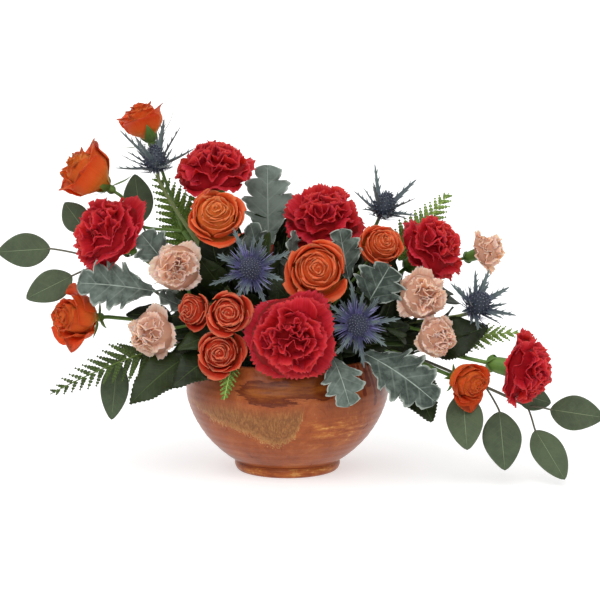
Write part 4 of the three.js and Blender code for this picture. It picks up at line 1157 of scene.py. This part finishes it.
def make_sea_holly(b):
    draw = dice(b["name"])
    violet = b["violet"]
    parts = holly_cone(b["head"] / 2, b["high"], 0.24 + 0.1 * violet)
    for i in range(OUTER_BRACTS):
        reach, rise = b["bracts"][i % 2]
        parts.append(holly_bract(
            reach, b["turn"] + TURN * i / OUTER_BRACTS, rise, 4.2 - 1.2 * violet, 5,
            0.5 * violet, draw.uniform(0.3, 1),
        ))
    for i in range(INNER_BRACTS):
        parts.append(holly_bract(
            draw.uniform(18, 36), TURN * (i + draw.uniform(0.2, 0.8)) / INNER_BRACTS,
            draw.uniform(0.1, 0.8), 2.4, 4, violet * 0.7, draw.uniform(0.2, 1),
            draw.uniform(-0.2, 0.2),
        ))
    needles = int(26 + 60 * violet)
    parts += holly_needles(draw, needles, 9, 14 + 9 * violet, b["head"], 0.35 + 0.6 * violet)
    stem = tube(route([*rooted(b["root"]), *arrival(b)]), HOLLY_STEM)
    parts = [*moved(parts, b["stand"]), {**stem, "along": 0 * stem["along"]}]
    piece(b["name"] + "_bloom", parts, HOLLY, [b["name"]])


def make_foliage(sprigs, ending, finish, stalk_finish, leaf_parts, thick):
    """Twigs with their leaves, each leaf on its stalk."""
    for sprig in sprigs:
        twig = sprig["twig"]
        stalks = [tube(route([*rooted(sprig["root"]), *twig]), TWIG_STEM)]
        leaves = []
        for b in sprig["leaves"]:
            begin, base, tip = np.array([twig[b.get("start", -1)], b["base"], b["tip"]], float)
            middle = (begin + base) / 2 + np.array([0, 0, 0.04 * np.linalg.norm(base - begin)])
            way = [begin, middle, base, base + 0.05 * (tip - base)]
            stalks.append(tube(route(way, 5), STALK, 8))
            leaves += leaf_parts(sprig, b)
        piece(sprig["name"] + "_stalks", stalks, stalk_finish)
        # a fern marked dark takes the darker copy of the fern finish: painted shade
        shade = SHADED_FERN_LEAF if sprig.get("dark") else finish
        piece(sprig["name"] + ending, leaves, shade, [sprig["name"]], thick)


# Where the dark greenery between the blooms ends: sprigs that fill the middle, out of the foam.
SPRIGS = [
    (-120, 0, 215), (-95, -30, 190), (-112, -30, 160), (-128, -34, 132), (-60, -10, 250),
    (-72, -40, 215), (-34, -44, 205), (-52, 30, 245), (-88, 20, 240), (0, -20, 238), (8, -52, 188),
    (22, 20, 235), (-10, 40, 225), (58, -20, 218), (70, -52, 186), (60, 32, 218), (98, 4, 222),
    (110, -30, 196), (132, -30, 176), (152, -34, 150), (166, -24, 134), (120, 22, 182),
    (100, -60, 150), (-84, 74, 168), (-24, 84, 182), (44, 84, 172), (102, 62, 160), (4, 62, 212),
    (-122, 44, 180), (142, 30, 168), (-60, -60, 150), (30, -70, 150), (-20, -70, 160),
    (-30, -76, 128), (24, -80, 132), (48, -78, 134), (78, -64, 136), (-88, -52, 138),
    (96, -44, 134), (-140, -10, 212), (-128, 20, 226), (-98, 10, 138), (-84, 52, 136),
    (-48, 84, 136), (-4, 92, 138), (40, 88, 136), (80, 58, 136), (98, 14, 138), (-70, -40, 136),
]
# how high their leaves may reach: places across and heights
HEIGHT_LIMIT = ([-170, -130, -90, -40, 0, 50, 100, 140, 180, 210],
                [150, 205, 250, 275, 262, 252, 240, 205, 165, 130])
# the space for their leaves' tips: lowest z, furthest y either way and the span of x
LOWEST_TIP, DEEPEST_TIP, TIP_SPAN = 112, 108, (-165, 205)
LEAVES_A_SPRIG = 9


def clear_of_blooms(points):
    """Whether none of the points lies in a bloom or hides one from where it looks."""
    for b in BLOOMS:
        away = points - b["at"]
        ahead = away @ b["faces"]
        aside = np.linalg.norm(away - ahead[:, None] * b["faces"], axis=1)
        if np.any((aside < 0.5 * b["across"] + 2) & (ahead > -0.55 * b["high"])):
            return False
        seen = np.hypot(away[:, 0], away[:, 2])
        if b["faces"][1] < 0.3 and np.any((seen < 0.48 * b["across"]) & (away[:, 1] < 0)):
            return False
    return True


def make_filling():
    """Dark leathery leaves on short sprigs between the blooms. A leaf that would touch or hide a
    bloom, or stand above the arrangement, is left off."""
    draw = dice("filling")
    stalks, leaves = [], []
    for end in np.array(SPRIGS, float):
        root = end[:2] * min(1, FOAM_REACH / np.hypot(*end[:2]))
        bend = np.array([*(0.5 * root + 0.5 * end[:2]), 0.45 * FOAM_TOP + 0.55 * end[2]])
        path = route([*rooted(root), bend, end])
        stalks.append(tube(path, np.linspace(1.3, 0.7, len(path)), 7))
        for k in range(LEAVES_A_SPRIG):
            at = path[int(len(path) * (0.3 + 0.68 * k / (LEAVES_A_SPRIG - 0.5)))]
            out = unit(np.array([at[0], at[1] * 1.4, 0.3 * (at[2] - 120)]) + 1e-3)
            way = unit(0.5 * unit(end - bend) + 0.5 * out + draw.normal(0, 0.55, 3))
            long = draw.uniform(34, 50)
            base = at + way * 6
            tip = base + way * long
            face = unit(out + np.array([0, -0.5, 0.5]) * (at[1] < 30) + draw.normal(0, 0.3, 3))
            spots = np.stack([base + (tip - base) * f for f in (0.2, 0.5, 0.8, 1.0)])
            inside = LOWEST_TIP <= tip[2] <= np.interp(tip[0], *HEIGHT_LIMIT)
            inside = inside and abs(tip[1]) <= DEEPEST_TIP and TIP_SPAN[0] < tip[0] < TIP_SPAN[1]
            if not (inside and clear_of_blooms(spots)):
                continue
            stalks.append(tube([at, at + way * 3, base + way * 0.05 * long], 0.7, 6))
            leaves.append(leaf(
                serrate, base, tip, face, long * draw.uniform(0.5, 0.66), draw.uniform(0.02, 0.1),
                rows=17, columns=5, cup=0.14, wave=0.8, tone=draw.uniform(0.1, 0.9), slope=0.9,
                spacing=8, phase=draw.uniform(0, 1),
            ))
    piece("filling_stalks", stalks, SALAL_TWIG)
    piece("filling_leaves", leaves, SALAL_LEAF, thick=0.45)


make_bowl()
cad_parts["floral_foam"].data.materials.clear()
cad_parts["floral_foam"].data.materials.append(wet_foam())
hollies = [b for b in BLOOMS if b["kind"] == "sea_holly"]
petalled = [b for b in BLOOMS if b["kind"] != "sea_holly"]
for b in petalled:
    make_petals(b)
for b in petalled:
    if "root" in b:
        make_stem(b["name"].replace(b["kind"], b["kind"] + "_stem"), b["root"], [b])
for name, root, fork, ends in BRANCHED_STEMS:
    make_stem(name, root, [b for b in BLOOMS if b["name"] in ends], fork)
for b in hollies:
    make_sea_holly(b)
make_filling()
make_foliage(DUSTY_MILLER, "_leaves", FELT, FELT_STALK, felted, 0.9)
make_foliage(EUCALYPTUS, "_leaves", EUCALYPTUS_LEAF, TWIG, waxy, 0.5)
make_foliage(SALAL, "_leaves", SALAL_LEAF, SALAL_TWIG, leathery, 0.5)
make_foliage(FERNS, "_frond", FERN_LEAF, FERN_STALK, frond, 0.4)

# ---------------------------------------------------------------- stage, light and camera


def make_stage():
    """A white table that runs on out of sight, lit a little from below, a soft white sky, brighter
    above and dimmer on the viewer's side, and two broad sun-like lamps."""
    far = 120.0
    table = bpy.data.meshes.new("table")
    corners = [(-far, -far, 0), (far, -far, 0), (far, far, 0), (-far, far, 0)]
    table.from_pydata(corners, [], [(0, 1, 2, 3)])
    white, _ = material(
        "table_white", Roughness=0.9, Specular_IOR_Level=0.1, Base_Color=(0.62, 0.62, 0.62, 1),
        Emission_Color=(1, 1, 1, 1), Emission_Strength=0.52,
    )
    table.materials.append(white)
    put("table", table)

    sky = bpy.data.worlds.new("studio")
    bpy.context.scene.world = sky
    sky.use_nodes = True
    new = functools.partial(add, sky.node_tree)
    way = new("TexCoord", out="Generated")
    above, behind = new("SeparateXYZ", way, out=2), new("SeparateXYZ", way, out=1)
    above = new("MapRange", above, in1=-0.1, in2=0.9, in3=0.6, in4=1.15)
    behind = new("MapRange", behind, in1=-0.9, in2=0.3, in3=0.6, in4=1.0)
    soft = new("MULTIPLY", above, behind)
    strength = new("MapRange", new("LightPath", out="Is Camera Ray"), in3=soft, in4=1.0)
    background = sky.node_tree.nodes["Background"]
    background.inputs["Color"].default_value = (1, 1, 1, 1)
    sky.node_tree.links.new(strength, background.inputs["Strength"])

    for name, power, angle, pitch, yaw in [("key", 1.35, 50, 42, -16), ("fill", 0.4, 60, 48, 26)]:
        lamp = bpy.data.lights.new(name, "SUN")
        lamp.energy = power
        lamp.angle = math.radians(angle)
        put(name, lamp).rotation_euler = (math.radians(pitch), math.radians(yaw), 0)


def make_camera():
    """The photograph's view: 2.2 m away, 8.7 degrees above level, a millimetre to a pixel."""
    target = np.array([0.0127, 0.0, 0.171])
    away, pitch = 2.2, math.radians(8.7)
    lens = bpy.data.cameras.new("camera")
    lens.sensor_width = 36
    lens.lens = 132
    lens.clip_end = 500
    camera = put("camera", lens)
    camera.location = target + away * np.array([0, -math.cos(pitch), math.sin(pitch)])
    camera.rotation_euler = (math.pi / 2 - pitch, 0, 0)
    bpy.context.scene.camera = camera


make_stage()
make_camera()
bpy.context.scene.view_settings.view_transform = "Standard"
